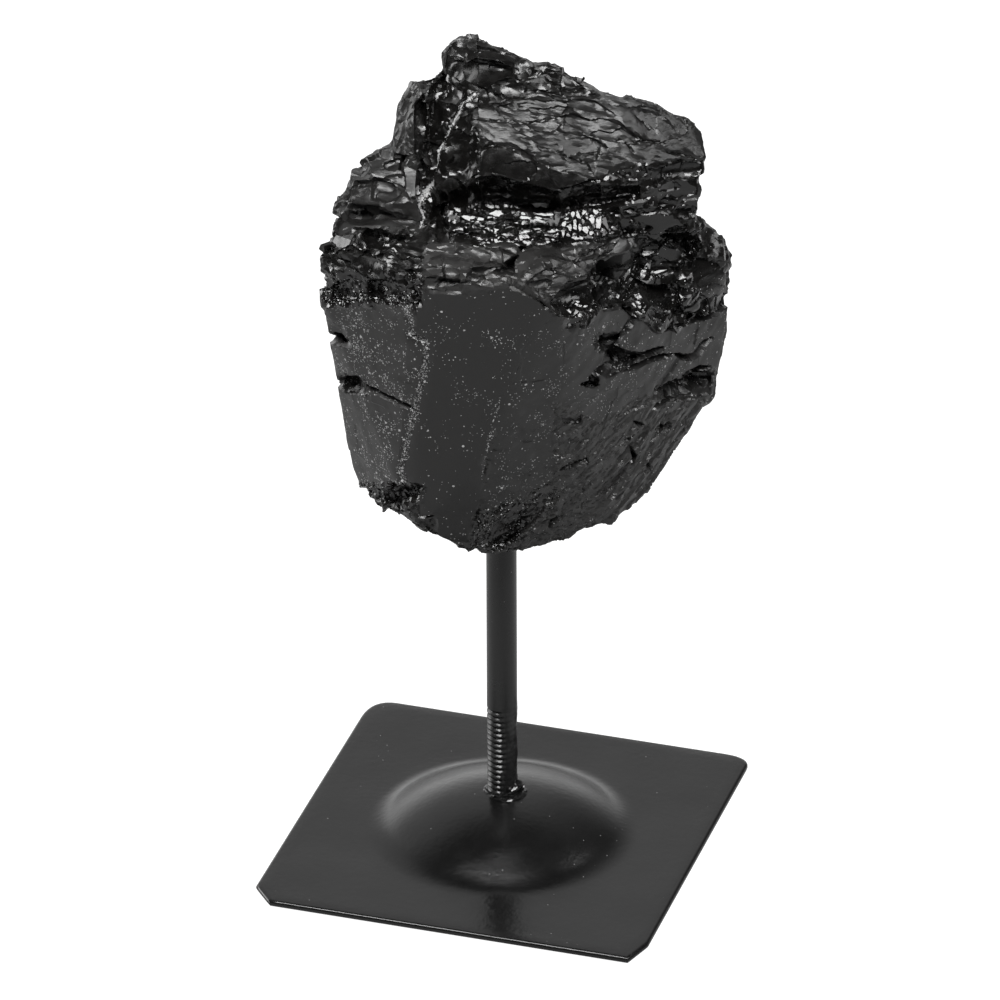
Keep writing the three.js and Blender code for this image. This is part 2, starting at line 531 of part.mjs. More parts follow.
function breakAround(body) {
  const random = randomFrom(BREAKS.seed);
  const between = ([low, high]) => low + (high - low) * random();
  const faces = [];
  let total = 0;
  for (const face of trianglesOf(body)) {
    const normal = face.getNormal(new THREE.Vector3());
    const middle = face.getMidpoint(new THREE.Vector3());
    const nearRod = Math.hypot(middle.x, middle.y) < ROUND_ROD.radius && middle.z < ROUND_ROD.below;
    const seenFromFront = normal.y < 0.05 && normal.x > -0.8 && normal.z > -0.75;
    if (seenFromFront || nearRod) continue;
    total += face.getArea();
    faces.push({ face, normal, upTo: total });
  }
  let result = body;
  for (let i = 0; i < BREAKS.tries; i++) {
    const pick = random() * total;
    const { face, normal } = faces.find((f) => f.upTo >= pick);
    const [u, v] = [random(), random()];
    const [a, b] = u + v > 1 ? [1 - u, 1 - v] : [u, v];
    const centre = face.a.clone().multiplyScalar(1 - a - b);
    centre.addScaledVector(face.b, a).addScaledVector(face.c, b);
    const grain = random() < GRAIN_SHARE ? GRAIN : new THREE.Vector3(1, random() - 0.5, 0.3 * random());
    const size = {
      length: between(BREAKS.length),
      width: between(BREAKS.width),
      depth: between(BREAKS.depth),
      tilt: BREAKS.tilt,
      clear: 3,
    };
    const cut = flake(centre, normal, grain, size, random);
    if (cut.every(behindOutline)) result = result.subtract(block(cut));
  }
  return result;
}

function stone() {
  let body = BLOCKS.map(block).reduce((sum, other) => sum.add(other));
  body = breakAround(body);
  body = FLAKED_FACES.reduce(flakeFace, body);
  body = PITS.map(pit).reduce((left, cut) => left.subtract(cut), body);
  const hole = new THREE.CylinderGeometry(
    ROD_DIAMETER / 2 + CLEARANCE, ROD_DIAMETER / 2 + CLEARANCE, 2 * ROD_IN_STONE, 24,
  );
  hole.rotateX(Math.PI / 2);
  hole.translate(0, 0, STONE_FOOT + CLEARANCE);
  body = body.subtract(solid(hole));
  // thin splinters that the cuts left loose are dropped
  const largest = body.decompose().sort((p, q) => q.volume() - p.volume())[0];
  return geometryOf(largest);
}

const stoneMesh = new THREE.Mesh(stone(), new THREE.MeshStandardMaterial({
  color: 0x1a1a1c,
  roughness: 0.3,
  metalness: 0,
}));
stoneMesh.name = 'tourmaline';
const stoneFrame = new THREE.Group();
stoneFrame.rotation.z = STONE_TURN;
stoneFrame.add(stoneMesh);

const group = new THREE.Group();
group.add(
  steel('base_plate', basePlate(), 0x1c1c1c, 0.35),
  steel('rod', rod(), 0x202020, 0.35),
  steel('weld_bead', weldBead(), 0x262626, 0.4),
  stoneFrame,
);

export default group;
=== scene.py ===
import math

import bpy
import numpy as np
from mathutils import Matrix, Vector


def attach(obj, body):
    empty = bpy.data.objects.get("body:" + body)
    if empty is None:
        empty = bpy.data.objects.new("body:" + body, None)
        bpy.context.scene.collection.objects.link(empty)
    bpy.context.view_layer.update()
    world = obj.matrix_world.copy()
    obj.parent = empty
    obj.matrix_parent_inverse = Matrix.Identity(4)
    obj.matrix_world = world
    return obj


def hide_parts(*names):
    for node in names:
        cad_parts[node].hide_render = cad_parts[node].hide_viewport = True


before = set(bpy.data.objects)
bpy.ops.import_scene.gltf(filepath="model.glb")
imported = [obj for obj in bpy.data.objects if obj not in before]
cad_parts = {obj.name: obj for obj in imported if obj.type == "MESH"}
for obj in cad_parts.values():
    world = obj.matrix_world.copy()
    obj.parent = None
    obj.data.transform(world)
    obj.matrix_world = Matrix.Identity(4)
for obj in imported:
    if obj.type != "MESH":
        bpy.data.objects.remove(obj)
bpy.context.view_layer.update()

STONE_TURN = math.radians(17.25)  # the stone's broad front against the plate's front edge
LEAN = math.radians(29.7)  # lines of sight lean down by this much
LEAN_PIVOT = 130.0  # mm, height where the slanting coordinates are centred
SEED = 7


def new_object(name, data):
    obj = bpy.data.objects.new(name, data)
    bpy.context.scene.collection.objects.link(obj)
    return obj


# ---- camera
CAMERA_TILT = math.radians(29.72)
CAMERA_ROLL = math.radians(-0.24)
CAMERA_DISTANCE = 2.2796  # m
CAMERA_LENS = 396.0  # mm
CAMERA_FRAME = 36.0  # mm
AIM_HEIGHT = 0.08071  # m
AIM_LEFT = 0.00025  # m


def make_camera():
    c, s = math.cos(STONE_TURN), math.sin(STONE_TURN)
    level_right = Vector((c, s, 0.0))
    back = Vector((s * math.cos(CAMERA_TILT), -c * math.cos(CAMERA_TILT), math.sin(CAMERA_TILT)))
    level_up = back.cross(level_right)
    right = level_right * math.cos(CAMERA_ROLL) + level_up * math.sin(CAMERA_ROLL)
    up = level_up * math.cos(CAMERA_ROLL) - level_right * math.sin(CAMERA_ROLL)
    data = bpy.data.cameras.new("camera")
    data.lens = CAMERA_LENS
    data.sensor_width = CAMERA_FRAME
    data.clip_start = 0.05
    data.clip_end = 30.0
    camera = new_object("camera", data)
    place = Matrix((right, up, back)).transposed().to_4x4()
    place.translation = Vector((0.0, 0.0, AIM_HEIGHT)) - level_right * AIM_LEFT + back * CAMERA_DISTANCE
    camera.matrix_world = place
    bpy.context.scene.camera = camera


make_camera()
bpy.context.scene.view_settings.view_transform = "Standard"


# ---- noise on arrays of points, in mm
def scrambled(cell, seed):
    """Whole-number cells to well mixed 32-bit numbers."""
    c = cell.astype(np.int64).astype(np.uint32)
    h = (c[:, 0] * np.uint32(374761393) + c[:, 1] * np.uint32(668265263) + c[:, 2] * np.uint32(1440662683)
         + np.uint32((seed * 1274126177) & 0xFFFFFFFF))
    h = (h ^ (h >> np.uint32(13))) * np.uint32(1274126177)
    h = (h ^ (h >> np.uint32(16))) * np.uint32(2246822519)
    return h ^ (h >> np.uint32(14))


def hashed(cell, seed, count):
    """Random numbers from 0 to 1, count to a cell."""
    h = scrambled(cell, seed)
    out = np.empty((len(h), count))
    for k in range(count):
        h = h * np.uint32(1664525) + np.uint32(1013904223)
        out[:, k] = ((h ^ (h >> np.uint32(15))) >> np.uint32(8)) / float(0x1000000)
    return out


def noise(p, size, seed):
    """Smooth noise from -1 to 1."""
    q = p / size
    base = np.floor(q)
    f = q - base
    f = f * f * f * (f * (f * 6 - 15) + 10)
    total = np.zeros(len(p))
    for dx, dy, dz in np.ndindex(2, 2, 2):
        weight = ((f[:, 0] if dx else 1 - f[:, 0]) * (f[:, 1] if dy else 1 - f[:, 1])
                  * (f[:, 2] if dz else 1 - f[:, 2]))
        total += weight * hashed(base + (dx, dy, dz), seed, 1)[:, 0]
    return total * 2 - 1


def fbm(p, size, octaves, seed):
    """Noise with ever finer noise added to it, each octave half as large and half as strong."""
    total, weight, reach = np.zeros(len(p)), 1.0, 0.0
    for k in range(octaves):
        total += weight * noise(p, size, seed + 31 * k)
        reach += weight
        size, weight = size * 0.5, weight * 0.5
    return total / reach


CELL_RIM = 0.18  # a cell's own point keeps this far from the cell's sides


def near_cells(q, seed):
    """The eight cells nearest each point: the offset from each cell's own point, a random lean from -1 to 1
    on each axis, and a random lift from 0 to 1."""
    base = np.floor(q - 0.5)
    for step in np.ndindex(2, 2, 2):
        cell = base + step
        r = hashed(cell, seed, 7)
        yield q - (cell + CELL_RIM + (1 - 2 * CELL_RIM) * r[:, :3]), r[:, 3:6] * 2 - 1, r[:, 6]


def chips(p, size, seed, tilt, bowl):
    """Broken faces that meet in sharp edges: the lowest of many tilted shallow bowls. Gives the height, in
    mm, and a random number for each face."""
    best = np.full(len(p), 1e9)
    mark = np.zeros(len(p))
    for d, lean, lift in near_cells(p / size, seed):
        height = 0.4 * lift + bowl * np.einsum("ij,ij->i", d, d) + tilt * np.einsum("ij,ij->i", d, lean)
        lower = height < best
        best[lower] = height[lower]
        mark[lower] = np.abs(lean[lower, 0] + lean[lower, 1]) % 1.0
    return size * (best - 0.25), mark


def blocks(p, size, seed, tilt, rise, lean_all=(0, 0, 0)):
    """Blocks that meet in small steps: each point takes the tilted plane of its nearest cell. size has one
    number for each axis. Gives the height, in mm, and how near the point is to a joint, from 0 to 1."""
    size = np.broadcast_to(np.asarray(size, float), (3,))
    nearest = np.full(len(p), 1e9)
    second = np.full(len(p), 1e9)
    height = np.zeros(len(p))
    for d, lean, lift in near_cells(p / size, seed):
        far = np.einsum("ij,ij->i", d, d)
        closer = far < nearest
        second = np.where(closer, nearest, np.minimum(second, far))
        nearest[closer] = far[closer]
        plane = rise * (lift - 0.5) + np.einsum("ij,ij->i", d * size, tilt * lean + lean_all)
        height[closer] = plane[closer]
    return height, fade(np.sqrt(second) - np.sqrt(nearest), 0.16, 0.05)


RISER_SHARE = 0.16  # of a terrace
TERRACE_SLOPE = 0.25


def scarps(value, count):
    """Terraces with sharp little risers along the contours of a smooth noise."""
    v = value * count
    whole = np.floor(v)
    stepped = whole + fade(v - whole, 0.0, RISER_SHARE)
    return ((1 - TERRACE_SLOPE) * stepped + TERRACE_SLOPE * v) / count


def fade(value, low, high):
    """From 0 at low to 1 at high, with soft ends."""
    t = np.clip((value - low) / (high - low), 0, 1)
    return t * t * (3 - 2 * t)


# ---- the stone's fine surface
# What each region of the front is made of. Relief: broad, big and mid are shell-like broken faces of three
# sizes, bits are small blocks, slab, flat and flake are terraces and streaks that lie nearly level, steep
# are upright ridges, and slant are ridges that rise to the right. Surface: gloss goes from 0, satin, to 1,
# glassy, dull is a pale film, specks are pale grains (along the seam also painted glints), spark is tiny
# tilted faces, crinkle is fine bumps.
RELIEF_KINDS = ("broad", "big", "mid", "bits", "slab", "flat", "flake", "steep", "slant")
SURFACE_KINDS = ("gloss", "dull", "specks", "spark", "crinkle")
ELSEWHERE = dict(broad=0.7, big=0.4, mid=0.3, flake=0.2, steep=0.8, gloss=0.35, dull=0.2, specks=0.12,
                 crinkle=0.4)
# The outlines are in millimetres, as seen along the slanting line of sight: right and up.
REGIONS = {
    "front": (
        [(-16, -0.8), (-13.4, 0.9), (-4.6, 0.9), (2.1, 0.2), (8.1, -2.8), (10.5, -5.6), (4.5, -12.3),
         (2.1, -20.4), (0, -25.9), (-2, -30.5), (-3.4, -37.2), (-4, -42.1), (-5.4, -52), (-12, -52),
         (-14, -46), (-20.5, -38.6), (-19.5, -32.6), (-18.3, -27.5), (-17.2, -22.4), (-16, -17.4),
         (-15.2, -13.3), (-15.6, -10.3), (-18.5, -8.9), (-16.8, -3.2)],
        dict(broad=0.03, steep=0.03, gloss=0.08, specks=0.15)),
    "left": (
        [(-39, -0.6), (-34.4, -1), (-31.2, -1.9), (-28.5, -2.4), (-27.1, -1), (-23.4, -0.9), (-20.7, -1.9),
         (-18.4, -4), (-17, -6.5), (-18.9, -8.9), (-15.2, -11.3), (-16, -17.4), (-17.5, -22.4),
         (-19.1, -30.5), (-20.5, -36.6), (-20.9, -40.7), (-34, -40.7), (-39, -11.3)],
        dict(broad=0.08, big=0.05, mid=0.03, bits=0.03, steep=0.1, gloss=0.04, dull=0.6, specks=1,
             crinkle=0.1)),
    "right": (
        [(10.5, -5.6), (14, -8.2), (17, -7.2), (20.5, -4.2), (24, -3.2), (27.5, -5.5), (32, -8.6),
         (36.5, -8), (40.5, -5.5), (50, -1.5), (50, -22.4), (28.2, -30.5), (12.1, -42.7), (8.1, -54),
         (-5.4, -54), (-4, -42.1), (0, -25.9), (4.5, -12.3)],
        dict(broad=0.12, big=0.05, mid=0.02, flat=0.1, flake=0.05, slant=0.15, gloss=0.12, dull=0.3,
             specks=0.4, crinkle=0.12)),
    "lower_right": (
        [(10.7, -22.4), (20.1, -27.5), (28.2, -21.4), (48, -22.4), (44, -38.6), (32, -52), (4.1, -57),
         (4.1, -48.8), (10.7, -38.6)],
        dict(broad=0.2, big=0.1, mid=0.05, flake=0.15, slant=1.3, gloss=0.3, dull=2, specks=0.1, crinkle=1)),
    "top": (
        [(-6, 35.9), (4.1, 39.3), (20.1, 39.7), (29.2, 38.3), (44, 37), (46, 26.6), (28.2, 25), (19.7, 21.7),
         (12.1, 24.1), (0, 28.6), (-7, 31.2)],
        dict(broad=0.22, big=0.08, slab=0.08, flat=0.12, flake=0.6, gloss=0.2, dull=0.1, crinkle=0.8)),
    "brow": (
        [(-4.4, 29.2), (0, 28.6), (12.1, 24.1), (20.1, 21.7), (19.7, 19.7), (11.5, 18.9), (-0.6, 22.5),
         (-4.4, 24.1)],
        dict(broad=0.05, big=0.05, slab=0.1, flat=0.08, flake=0.12, gloss=0.5, crinkle=0.3)),
    "band": (
        [(-9.6, 19.5), (0, 22.5), (12.1, 18.9), (23.6, 20.5), (25.8, 10), (8.1, 8.5), (-9.6, 9.6)],
        dict(broad=0.45, big=0.45, mid=0.3, bits=0.1, slab=0.3, flat=0.2, gloss=1, spark=0.1, crinkle=0.2)),
    "wall": (
        [(19.7, 21.7), (28.2, 25.4), (45, 27), (45, 10.8), (25.8, 9.4)],
        dict(broad=0.6, big=0.5, mid=0.15, bits=0.1, slab=0.6, flat=0.5, flake=0.25, gloss=0.65, specks=0.1,
             spark=0.1, crinkle=0.3)),
    "dark": (
        [(-16.6, 42.8), (-6, 42), (-6, 35.9), (-4, 28.2), (-4, 23.1), (-9, 19.1), (-9.6, 9.4), (-16.6, 10)],
        dict(broad=1, big=0.7, mid=0.05, slab=0.3, flat=0.1, flake=0.1, steep=0.4, gloss=0.7, crinkle=0.15)),
    "peak": (
        [(-15, 56), (10, 56), (22.2, 41.4), (20.1, 38.9), (4.1, 38.9), (-6, 35.9), (-6, 41.6), (-15, 41.6)],
        dict(broad=0.6, big=0.5, mid=0.15, slab=0.3, flat=0.2, flake=0.12, steep=0.3, gloss=0.5,
             crinkle=0.25)),
    "column": (
        [(-26, 43.2), (-16.4, 42.8), (-15.2, 25), (-26, 25)],
        dict(broad=0.15, big=0.05, steep=0.7, gloss=0.2, dull=0.5, crinkle=0.3)),
    "steps": (
        [(-38, 17.3), (-28, 30), (-16, 26.2), (-16, 11.6), (-24.1, 10), (-38, 10)],
        dict(broad=0.9, big=0.3, mid=0.06, slab=0.5, flat=0.3, flake=0.15, gloss=0.3, dull=0.4,
             crinkle=0.4)),
    "ledges": (
        [(-40, 13), (-15.2, 11.6), (-15.2, 2.9), (-40, 2.9)],
        dict(broad=0.9, big=0.3, mid=0.06, slab=1, flat=0.35, flake=0.2, gloss=0.55, dull=0.05,
             crinkle=0.25)),
    "chipped_band": (
        [(-40, 3.5), (-15.2, 3.5), (-15.6, -3.6), (-40, -3.6)],
        dict(broad=0.8, big=0.6, mid=0.4, bits=0.3, slab=0.1, steep=1.1, gloss=0.9, specks=0.5, spark=0.15,
             crinkle=0.3)),
    "shelf": (
        [(-15.6, 9.4), (8.1, 8.5), (5.7, 3.9), (8.1, -2.8), (2.1, -0.2), (-14, -1.2), (-15.6, -0.2)],
        dict(broad=0.5, big=0.35, slab=0.5, flat=0.15, flake=0.15, gloss=0.2, dull=1.4, crinkle=0.35)),
    "lobe": (
        [(5.7, 8.3), (25.8, 9.4), (27, 6.9), (20.1, 2.9), (11.3, -2.6), (8.1, -2.2)],
        dict(broad=0.3, big=0.25, mid=0.05, slab=0.4, flat=0.1, flake=0.3, gloss=0.3, dull=0.8,
             crinkle=0.5)),
    "crevice": (
        [(11.3, -2.6), (20.1, 2.9), (27, 6.9), (33.2, 10.8), (52, 11.6), (50, -1.5), (40.5, -5.5),
         (36.5, -8), (32, -8.6), (27.5, -5.5), (24, -3.2), (20.5, -4.2), (17, -7.2), (14, -8.2),
         (10.5, -5.6)],
        dict(broad=1.2, big=0.7, mid=0.2, bits=0.03, slab=0.6, flat=0.25, flake=0.2, gloss=0.7, specks=0.15,
             spark=0.05, crinkle=0.25)),
}
# Where the band is broken in small bricks that catch the light: lean to the right and lean upwards of their
# faces, width and height of a brick, and the outline.
BRICKS = [
    (0.01, 0.05, 2.6, 1.15,
     [(-8.2, 14.8), (-6.6, 16.6), (-1, 16), (3.6, 16.6), (3.6, 9.8), (-2, 11.2), (-6.6, 12.8)]),
    (0.17, 0.06, 3, 1,
     [(3.6, 16.6), (5.4, 14.6), (6.4, 12.4), (12.4, 12.2), (12.6, 10), (3.6, 9.8)]),
    (0.22, 0.05, 1.2, 3,
     [(11.6, 13.2), (13, 17), (15.2, 18.8), (17.6, 16.4), (20.8, 16.6), (23.6, 12.2), (20, 10.6),
      (12.8, 10.2)]),
]
BRICK_JOINT = 0.4  # mm deep
# Where the underside is hackly, and how much it has there at least of some kinds.
HACKLY = [
    [(-7.5, -53), (-6, -45.5), (0.5, -43), (4.5, -42), (9.5, -39.5), (12.5, -40.5), (10.5, -45),
     (6, -50.5), (1, -55)],
    [(-30, -39.3), (-21, -38.6), (-15.5, -39.5), (-15.5, -43), (-20.5, -46), (-31, -46)],
]
HACKLY_LEAST = dict(mid=0.15, bits=0.1, slant=1.5, gloss=0.7)

# Single broken faces of the front: lean to the right and lean upwards of the face against its surroundings,
# how far it is sunk, and its outline.
FACES = [
    (0, -0.45, 0, [(-11.6, 7.4), (-8.6, 8), (-6.2, 6.6), (-6, 3.6), (-7.2, 2), (-11, 2.2)]),
    (0.1, -0.15, 0.2, [(-16.4, 7.4), (-11.8, 7.2), (-11.2, 2.4), (-14.4, 2.6), (-16.2, 4.4)]),
    (-0.1, -0.25, 0.1, [(-9.6, 11.2), (-5.8, 11.6), (-5.4, 8.6), (-8.8, 8)]),
    (0.1, -0.45, 0, [(-3.2, 3.2), (-0.6, 4.4), (1.4, 3), (0.6, 1.2), (-2.6, 1)]),
    (0.1, 0.3, 0.3, [(0.2, 8.4), (3, 8.2), (3.2, 5), (1.2, 4.2)]),
    (0.15, -0.2, 0, [(3.4, 8.6), (7, 8.4), (8.6, 3.6), (5, 0.6), (3.6, 2.6)]),
    (0.35, -0.45, 0, [(-33.6, 15.4), (-27.6, 16.6), (-20.6, 12.4), (-16.6, 10.6), (-20.4, 10.2),
                      (-27, 12.6), (-33.4, 12.2)]),
    (-0.8, -0.15, 1, [(-28.4, 12), (-25.6, 11.4), (-23.4, 8.4), (-26.4, 7.4), (-29, 9.4)]),
    (0.2, -0.3, 0.1, [(-34, 11.4), (-29.4, 11.2), (-30, 8), (-34.4, 8)]),
    (-0.25, 0.5, 0.5, [(-19.4, 26.8), (-16.8, 27), (-15.6, 20), (-17.8, 17.8), (-19.8, 20.4)]),
    (0, 0.12, 0, [(-27, 26.2), (-20.2, 27.2), (-19.6, 23.6), (-25.6, 22.4)]),
    (0.05, 0.1, 0.2, [(-31, 20.6), (-25.2, 21.4), (-24.2, 17), (-30.6, 16.4)]),
    (0.05, 0.35, 0.6, [(-10.4, 20.4), (-5.2, 22.6), (-3, 19.4), (-6.2, 15.6), (-10.2, 16.2)]),
    (-0.6, 0, 0.5, [(-14.6, 20.6), (-11, 20), (-11.2, 13.8), (-14.2, 12.6)]),
    (0.25, -0.2, 0.1, [(-11, 13.4), (-7.6, 14.2), (-6.8, 11.2), (-10.2, 10.4)]),
    (0.8, -0.1, 0.6, [(19.6, 6.2), (24.6, 10), (27, 6.2), (22.4, 1.6), (18.8, 2.4)]),
    (0.6, -0.1, 0.5, [(13.8, 1), (18, 2.6), (17.4, -1.2), (13, -3.6), (11.4, -2)]),
    (0.3, -0.2, 0, [(38.4, 7.6), (44.6, 6.4), (46.6, 0.2), (42.2, -1.4), (38.6, 2.4)]),
    (0.6, 0, 0.4, [(29, 7.6), (36.4, 9.4), (37.2, 4.6), (31, 2.6)]),
    (-0.2, -0.3, 0.2, [(27.6, 1.4), (33.4, 1.8), (37.4, -1.2), (33, -4.6), (28.6, -3)]),
    (0.1, -0.1, 0, [(26.6, 15.2), (34, 16.4), (37.4, 13), (30.2, 11.4)]),
    (0, 0.1, 0.5, [(-7.2, 48.3), (-2, 48.9), (3.4, 47), (3.8, 42.6), (-2, 40.2), (-6.8, 42)]),
]
FACE_DEEPEST = -2.2  # mm
FACE_HIGHEST = 0.8

# Single breaks of the front, in the same slanted view. A cleft: half width, depth. A ledge, which stands up
# on the left of its line: reach, height. A vein of crushed pale grains: half width, depth. A seam of pale
# grains, also painted white for the glints of its crack edge: half width, depth. A strip of dust: half
# width, share.
LINES = {
    "cleft": [
        (0.55, 1.2, [(20.9, -9.9), (22, -9.7), (23, -10.1), (24.2, -9.5)]),
        (0.45, 0.9, [(24, -9.5), (25.6, -8.3), (26.8, -6.4), (27, -5.4)]),
        (0.5, 1, [(27, -13.5), (29.2, -13.3), (31.2, -12.7), (33.6, -11.9)]),
        (0.4, 0.7, [(25.2, -16.4), (27.6, -15.6), (30.2, -14.5), (32.2, -13.9), (35.4, -13.1)]),
        (0.5, 1, [(16.5, -19.2), (17.9, -19), (19.7, -19.4)]),
        (0.5, 0.7, [(18.1, -17.8), (20.1, -16.4), (22.6, -14.7)]),
        (0.5, 1, [(36.2, -13.1), (37.8, -13.7), (39.6, -13.7), (40.9, -12.7), (41.9, -10.9), (43.5, -9.7)]),
        (0.45, 0.9, [(37, -7.3), (39.6, -6), (42.3, -5.2), (45.1, -4.2)]),
        (0.5, 0.9, [(31.6, -24.1), (33, -22.8), (35, -21.6)]),
        (0.45, 0.8, [(27.4, -26.7), (28.2, -27.1), (29.4, -27.7)]),
        (0.35, 0.5, [(24.2, -31.6), (25.8, -30.5), (27.4, -29.7)]),
        (0.4, 0.7, [(26.6, -32), (27.4, -33.8), (27.2, -35.4)]),
        (0.8, 1.3, [(32.8, -28.5), (34.4, -27.5)]),
        (0.5, 0.9, [(39.6, -16.4), (41.1, -15.8), (43.1, -15.6)]),
        (0.4, 0.6, [(30.4, -35), (31.2, -36.8)]),
        (0.35, 0.35, [(10.5, -37.6), (12.5, -36.6), (14.5, -35.8), (17.3, -34.4), (17.7, -35.8)]),
        (0.4, 0.6, [(9.1, -49.6), (10.5, -47.6), (12.5, -46.3)]),
        (1.15, 1.4, [(33.4, -20.8), (37, -19.6), (40, -18.2), (42.6, -17.6)]),
        (1.2, 1, [(20.4, -10.6), (22.4, -11.6), (23.8, -13.2), (24.2, -14.8)]),
        (0.9, 1.2, [(-35.4, -9.4), (-33.2, -9.8), (-31.6, -10.8)]),
        (1.1, 1.2, [(-32.8, -18.6), (-30.4, -18.8), (-28.4, -19.8)]),
        (0.4, 0.7, [(-28.1, -19.6), (-25.1, -20.8), (-21.7, -22.6), (-17.7, -24.3)]),
        (0.3, 0.2, [(9.7, 42.4), (12.1, 41), (14.5, 40.3), (18.1, 41.6)]),
        (0.3, 0.2, [(7.5, 40.3), (11.1, 39.5), (13.7, 38.9)]),
        (0.3, 0.2, [(28.2, 30.2), (31.2, 30), (33, 29.8)]),
        (0.3, 0.2, [(25.4, 29.6), (26.4, 28.6), (27.2, 27.4)]),
        (0.3, 0.2, [(17.7, 30.8), (19.7, 29.8), (21.8, 28.6)]),
        (0.3, 0.12, [(27.8, 35.1), (29.2, 33.9), (30.6, 32.7)]),
        (0.3, 0.1, [(-6, 34.1), (0, 34.1), (6.1, 33.7), (11.3, 34.7)]),
        (0.35, 0.25, [(-4.4, 27.8), (-2.4, 28.8), (0, 29.2), (2.9, 28.8), (5.7, 27), (8.1, 25.4)]),
        (0.4, 0.4, [(11.3, 19.5), (15.1, 20.5), (18.1, 21.5), (20.1, 21.9)]),
        (0.35, 0.25, [(34.2, 27.8), (36.6, 27.6), (39, 27), (41.5, 26.2)]),
    ],
    "ledge": [
        (3, 0.35, [(17.7, 31.4), (20.1, 32.2), (22.6, 31.6), (24.6, 32.7), (27, 31.4), (29.8, 30.2)]),
        (3, 0.3, [(0, 38.5), (4.1, 38.9), (9.1, 38.1), (13.1, 38.3)]),
        (2.5, 0.3, [(5.7, 36.9), (9.1, 36.5), (12.1, 37.1), (16.1, 36.1)]),
        (2.5, 0.3, [(11.3, 34.7), (15.1, 35.7), (18.1, 34.1), (20.9, 34.7), (23.8, 33.7)]),
        (2, 0.25, [(22.2, 37.5), (26.2, 36.7), (30.2, 37.1), (33.8, 35.9)]),
        (3, 0.35, [(11.5, 27.6), (15.1, 26.2), (17.7, 25.2), (18.5, 23.7), (19.7, 22.1)]),
        (3, 0.4, [(0, 25), (4.1, 26), (6.9, 25.4), (8.3, 24.1)]),
        (2.5, 0.35, [(7.3, 25.4), (7.5, 23.7), (6.3, 22.1), (4.1, 21.3)]),
        (4, 0.5, [(-15.2, 5.5), (-12, 6.7), (-7.6, 6.3), (-4.4, 4.7), (-1.6, 5.3), (4.1, 3.5)]),
        (3, 0.4, [(-14, 0.9), (-11, 2.1), (-7.6, 1.1), (-5.2, 1.9)]),
        (3, 0.5, [(-33.7, 11.6), (-29.7, 13.2), (-25.7, 12), (-21.1, 10.8), (-16.4, 11.6)]),
        (3, 0.45, [(-34.1, 7.5), (-30.1, 9), (-25.7, 6.7), (-20.5, 7.5), (-16, 5.5)]),
        (2.5, 0.4, [(6.1, 5.5), (10.5, 6.7), (15.3, 5.3), (20.1, 6.7), (24.6, 7.5)]),
        (2.5, 0.35, [(8.1, 1.9), (11.3, 3.1), (15.1, 1.9), (18.5, 3.5)]),
        (4, 0.5, [(28.2, 5.5), (32.2, 6.7), (37, 5.5), (41.5, 6.7), (45.5, 5.5)]),
        (3, 0.4, [(30.2, 0.9), (34.6, 2.1), (39, 0.6), (43.5, 1.9), (46.3, 1.1)]),
        (5, 0.25, [(20.1, -24.5), (23.8, -22), (27, -20.4), (30.2, -19.2)]),
    ],
    # pale grains along a crack edge, partly painted white as that edge's glints
    "seam": [
        (0.45, 0.6, [(-4.8, 39.5), (-7.2, 37.7), (-8.4, 35.9), (-9.6, 33.5), (-10.8, 31.4), (-12, 28.2),
                     (-13.2, 24.1), (-14.4, 20.5), (-15.4, 17.1), (-16, 12.8)]),
    ],
    "vein": [
        (0.8, 0.8, [(-19.3, -4.2), (-18.1, -7.3), (-18.5, -9.1), (-15.2, -10.9), (-15, -14.3),
                    (-16.2, -19.4), (-17.5, -24.9), (-18.7, -28.9), (-19.5, -32.6), (-20.7, -36.6),
                    (-19.7, -39.1)]),
        (0.3, 0.2, [(0, -21.4), (-0.8, -24.9), (-2, -28.9), (-3, -33.6), (-4, -38.6)]),
    ],
    "dust": [
        (1.6, 0.7, [(-14, -9.9), (-11, -8.9), (-8, -8.3), (-4, -9.1)]),
        (1.4, 0.8, [(-2.5, -9.5), (2, -10.2), (6, -9.4), (9.5, -10)]),
        (1.8, 0.7, [(-10, -20.5), (-5, -22.5), (-1, -25.5)]),
        (1.6, 0.9, [(10.5, -20), (9, -24), (7.5, -29)]),
        (1.3, 0.9, [(3, -30), (1, -36), (-1.5, -42.5), (-4, -48)]),
    ],
}
# On the seam the white grains that run together are also a painted highlight: the glints of its crack edge.
CRUSHED = {"vein": 2.0, "seam": 2.4}  # how many specks, which run together above 2

VOXEL = 0.32  # mm
TRIANGLES = 196000
# Streaks of the slanted view: height, turn in degrees, length and width of a streak, octaves, seed, and how
# many terraces it breaks into, or 0.
STREAKS = {
    "flat": (0.9, -9, 7.0, 1.9, 4, 41, 4.0),
    "flake": (0.8, -12, 3.2, 0.9, 3, 43, 0),
    "slab": (2.0, -9, 15.0, 4.2, 3, 37, 3.0),
    "slant": (0.8, 50, 9.0, 1.6, 4, 47, 4.0),
}
RIDGE_HEIGHT = 0.9  # mm
RIDGE_WIDTH = 1.9
RIDGE_LENGTH = 5.0  # times its width
BROAD_LOWEST = -1.4  # mm
BROAD_HIGHEST = 1.0


def to_local(p):
    """Row frame in metres to the stone's own frame in millimetres."""
    c, s = math.cos(STONE_TURN), math.sin(STONE_TURN)
    q = p * 1000.0
    return np.column_stack((q[:, 0] * c + q[:, 1] * s, -q[:, 0] * s + q[:, 1] * c, q[:, 2]))


def to_row(p):
    c, s = math.cos(STONE_TURN), math.sin(STONE_TURN)
    return np.column_stack((p[:, 0] * c - p[:, 1] * s, p[:, 0] * s + p[:, 1] * c, p[:, 2])) / 1000.0


def slanted(p):
    """Right, up and inward, square to the slanting line of sight."""
    c, s = math.cos(LEAN), math.sin(LEAN)
    z = p[:, 2] - LEAN_PIVOT
    return np.column_stack((p[:, 0], z * c + p[:, 1] * s, p[:, 1] * c - z * s))


